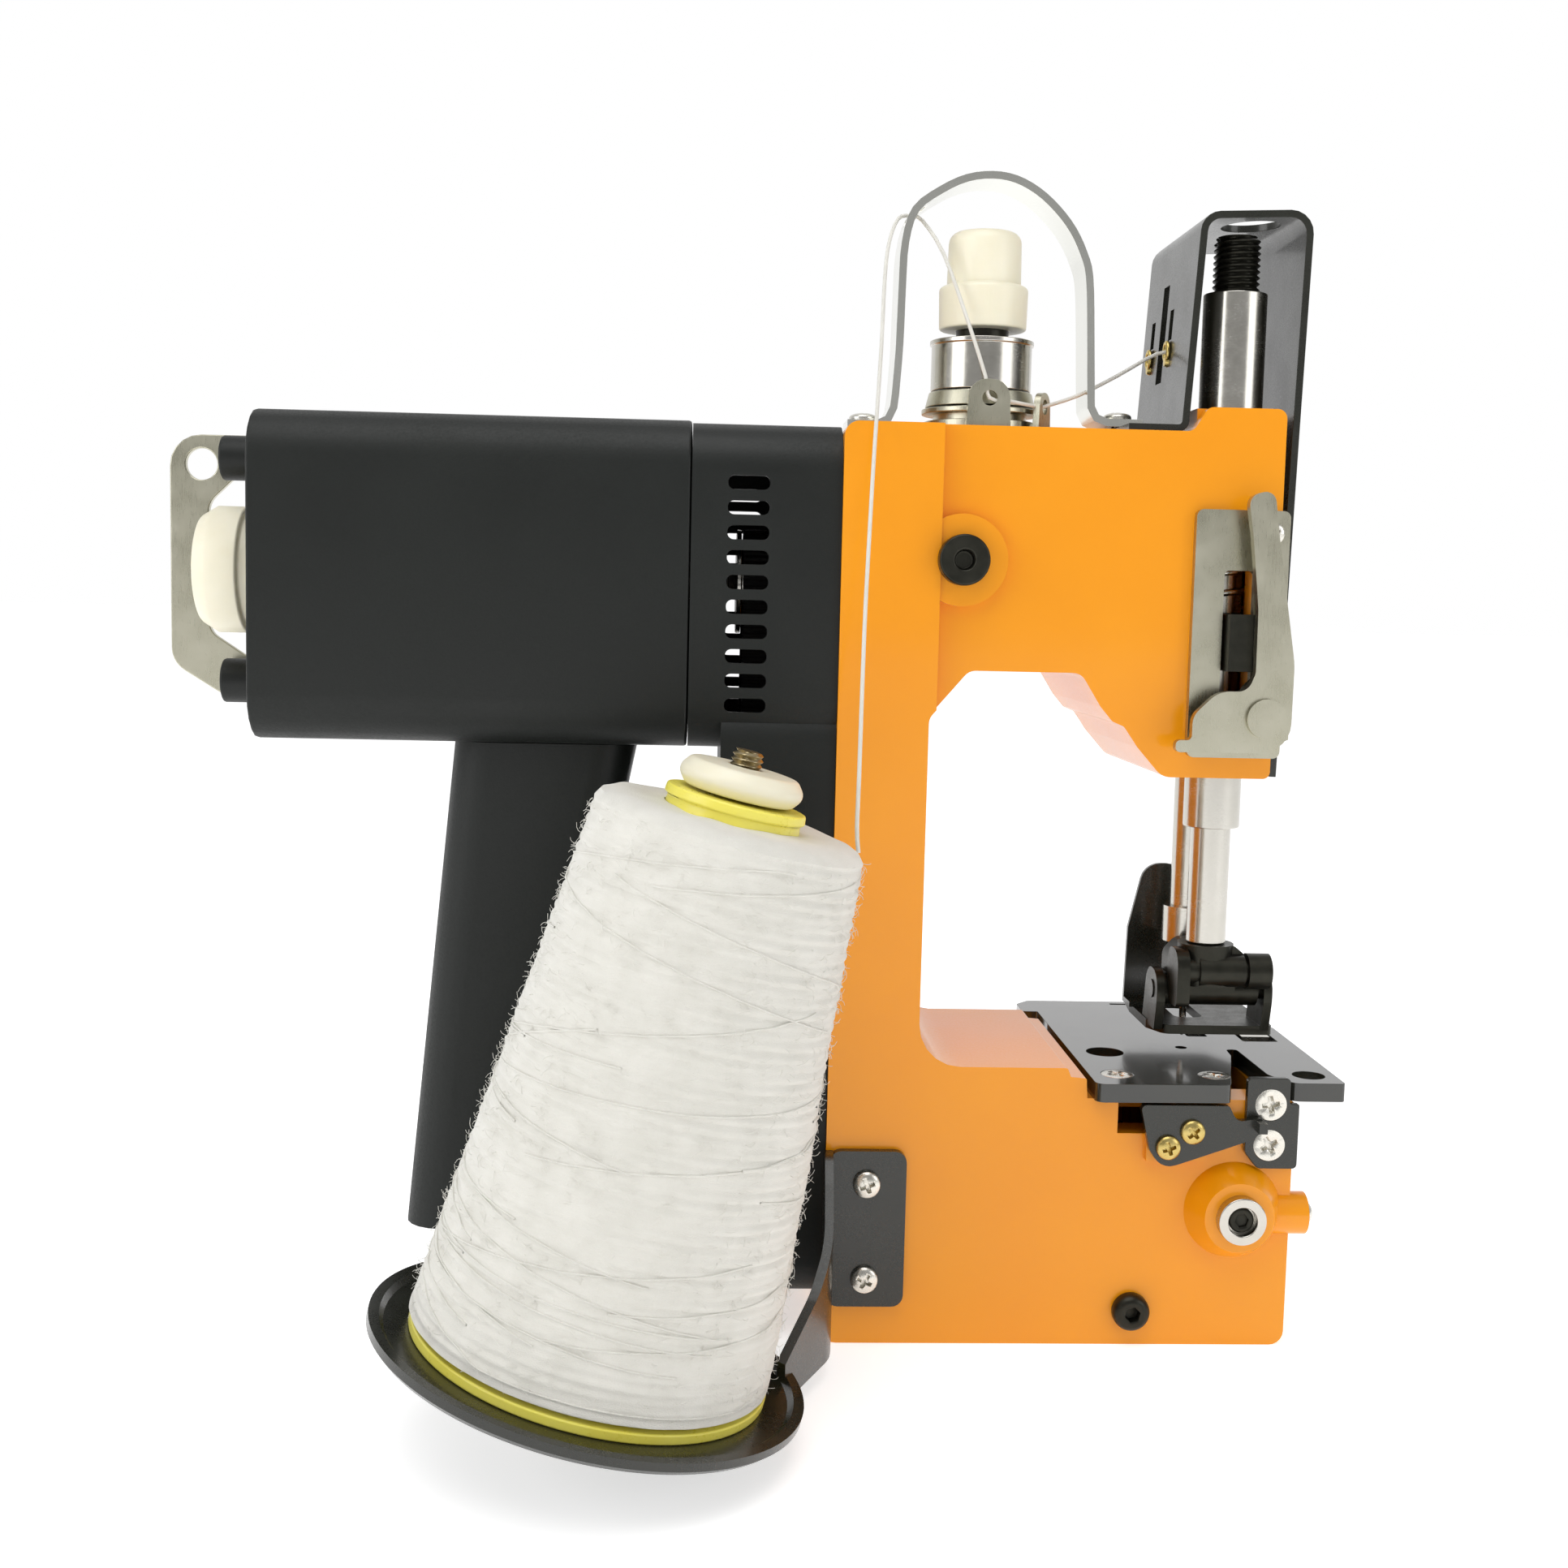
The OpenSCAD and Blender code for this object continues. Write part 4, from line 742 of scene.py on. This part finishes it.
around = 144
heights = [FOOT_Z + 0.6 + (TOP_Z - 2.2 - FOOT_Z - 0.6) * i / 230 for i in range(231)]
shape = bmesh.new()
rings = []
foot = [(FOOT_R - 5.5, FOOT_Z), (FOOT_R - 1.6, FOOT_Z)]
top = [(TOP_R - 1.0, TOP_Z - 0.9), (TOP_R - 2.6, TOP_Z - 0.1), (TOP_R - 5, TOP_Z + 0.2),
       (TOP_R - 9, TOP_Z - 0.1), (12.7, TOP_Z)]
for r, z in foot:
    rings.append([(r, z)] * around)
for z in heights:
    rings.append([(winding_radius(z, math.tau * k / around), z) for k in range(around)])
for r, z in top:
    wave = [noise.noise(Vector((math.cos(a) * 2, math.sin(a) * 2, r)))
            for a in (math.tau * k / around for k in range(around))]
    rings.append([(r + 0.3 * w, z + 0.5 * w) for w in wave])
grid = [[shape.verts.new((r * MM * math.cos(math.tau * k / around), r * MM * math.sin(math.tau * k / around),
                          z * MM)) for k, (r, z) in enumerate(ring)] for ring in rings]
for low, high in zip(grid, grid[1:]):
    for k in range(around):
        n = (k + 1) % around
        shape.faces.new((low[k], low[n], high[n], high[k]))
winding_mesh = bpy.data.meshes.new("wound_thread")
shape.to_mesh(winding_mesh)
shape.free()
placed("wound_thread", [(winding_mesh, spool_place)], spun_thread, "frame",
       ["thread_winding"])
print("winding faces:", len(winding_mesh.polygons))

# %% Loose turns and fibres
import random
OUTER_TURNS = 34
FIBRES = 3200
dice = random.Random(7)
strand_data = bpy.data.curves.new("outer_turns", "CURVE")
strand_data.dimensions = "3D"
strand_data.bevel_depth = 0.2 * MM
strand_data.bevel_resolution = 1
for _ in range(OUTER_TURNS):
    z = dice.uniform(10, 98)
    start = dice.uniform(0, math.tau)
    climb = dice.choice((-1, 1)) * dice.uniform(5, 22)
    sweep_angle = dice.uniform(1.5, 4.5)
    points = []
    for k in range(40):
        a = start + sweep_angle * k / 39
        h = min(101.5, max(6.5, z + climb * k / 39))
        r = winding_radius(h, a) + 0.08
        points.append(spool_place @ (Vector((r * math.cos(a), r * math.sin(a), h)) * MM))
    spline = strand_data.splines.new("POLY")
    spline.points.add(len(points) - 1)
    for point, at in zip(spline.points, points):
        point.co = (*at, 1)
fuzz_data = bpy.data.curves.new("loose_fibres", "CURVE")
fuzz_data.dimensions = "3D"
fuzz_data.bevel_depth = 0.045 * MM
fuzz_data.bevel_resolution = 0
for _ in range(FIBRES):
    a = dice.uniform(0, math.tau)
    z = dice.uniform(6, 104)
    r = winding_radius(min(z, 102), a)
    lift = dice.uniform(0.5, 1.5)
    bend = dice.uniform(-0.09, 0.09)
    drop = dice.uniform(-1.6, 1.6)
    spline = fuzz_data.splines.new("POLY")
    spline.points.add(3)
    for k in range(4):
        t = k / 3
        reach = r - 0.1 + lift * t * (1.6 - 0.6 * t)
        here = Vector((reach * math.cos(a + bend * t), reach * math.sin(a + bend * t),
                       z + drop * t * t)) * MM
        spline.points[k].co = (*(spool_place @ here), 1)
for name, data in (("outer_turns", strand_data), ("loose_fibres", fuzz_data)):
    piece = bpy.data.objects.new(name, data)
    data.materials.append(spun_thread)
    bpy.context.collection.objects.link(piece)
    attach(piece, "frame")
print("strands:", len(strand_data.splines), "fibres:", len(fuzz_data.splines))

# %% [markdown]
# ## Thread eyes of the guard
# Two little wire loops are riveted to the guard. A loop is a torus pulled a little longer than wide, and a
# small turned rivet sits at its lower end.

# %% Thread eyes
def wire_loop(loop_mm, wire_mm, stretch):
    """A wire loop in the YZ plane."""
    shape = bmesh.new()
    rings = []
    for k in range(28):
        a = math.tau * k / 28
        centre = Vector((0, math.cos(a) * loop_mm, math.sin(a) * loop_mm * stretch))
        out = Vector((0, math.cos(a), math.sin(a)))
        rings.append([shape.verts.new((centre + wire_mm * (math.cos(b) * out
                                                           + math.sin(b) * Vector((1, 0, 0)))) * MM)
                      for b in [math.tau * j / 10 for j in range(10)]])
    for k in range(28):
        for j in range(10):
            low, high, n = rings[k], rings[(k + 1) % 28], (j + 1) % 10
            shape.faces.new((low[j], high[j], high[n], low[n]))
    mesh = bpy.data.meshes.new("loop")
    shape.to_mesh(mesh)
    shape.free()
    return mesh


loop = wire_loop(1.5, 0.5, 1.25)
EYES_AT = ((11, 213.2), (-5, 213.1))
placed("brass_thread_eyes",
       [(loop, Matrix.Translation(Vector((21.0, y, z)) * MM)) for y, z in EYES_AT]
       + [(turned([(0, -1.6), (0.9, -1.6), (1.3, -0.6), (1.3, 0.6), (0.9, 1.6), (0, 1.6)]),
           facing(22.2, y, z - 2.2, (1, 0, 0))) for y, z in EYES_AT],
       yellow_zinc, "frame", ["guard_eyelets"])
# The faces in the centre recess of the tension knob take the dark oxide steel: it stands for the steel in
# the recess and also paints the recess's shade.
knob_mesh = parts["tension_knob"].data
knob_mesh.materials.append(oxide_steel)
for polygon in knob_mesh.polygons:
    sideways = polygon.center - Vector((-0.0195, -0.007, polygon.center.z))
    if polygon.center.z < 0.2159 and sideways.length < 0.0058:
        polygon.material_index = 1
print("eyes: 2")
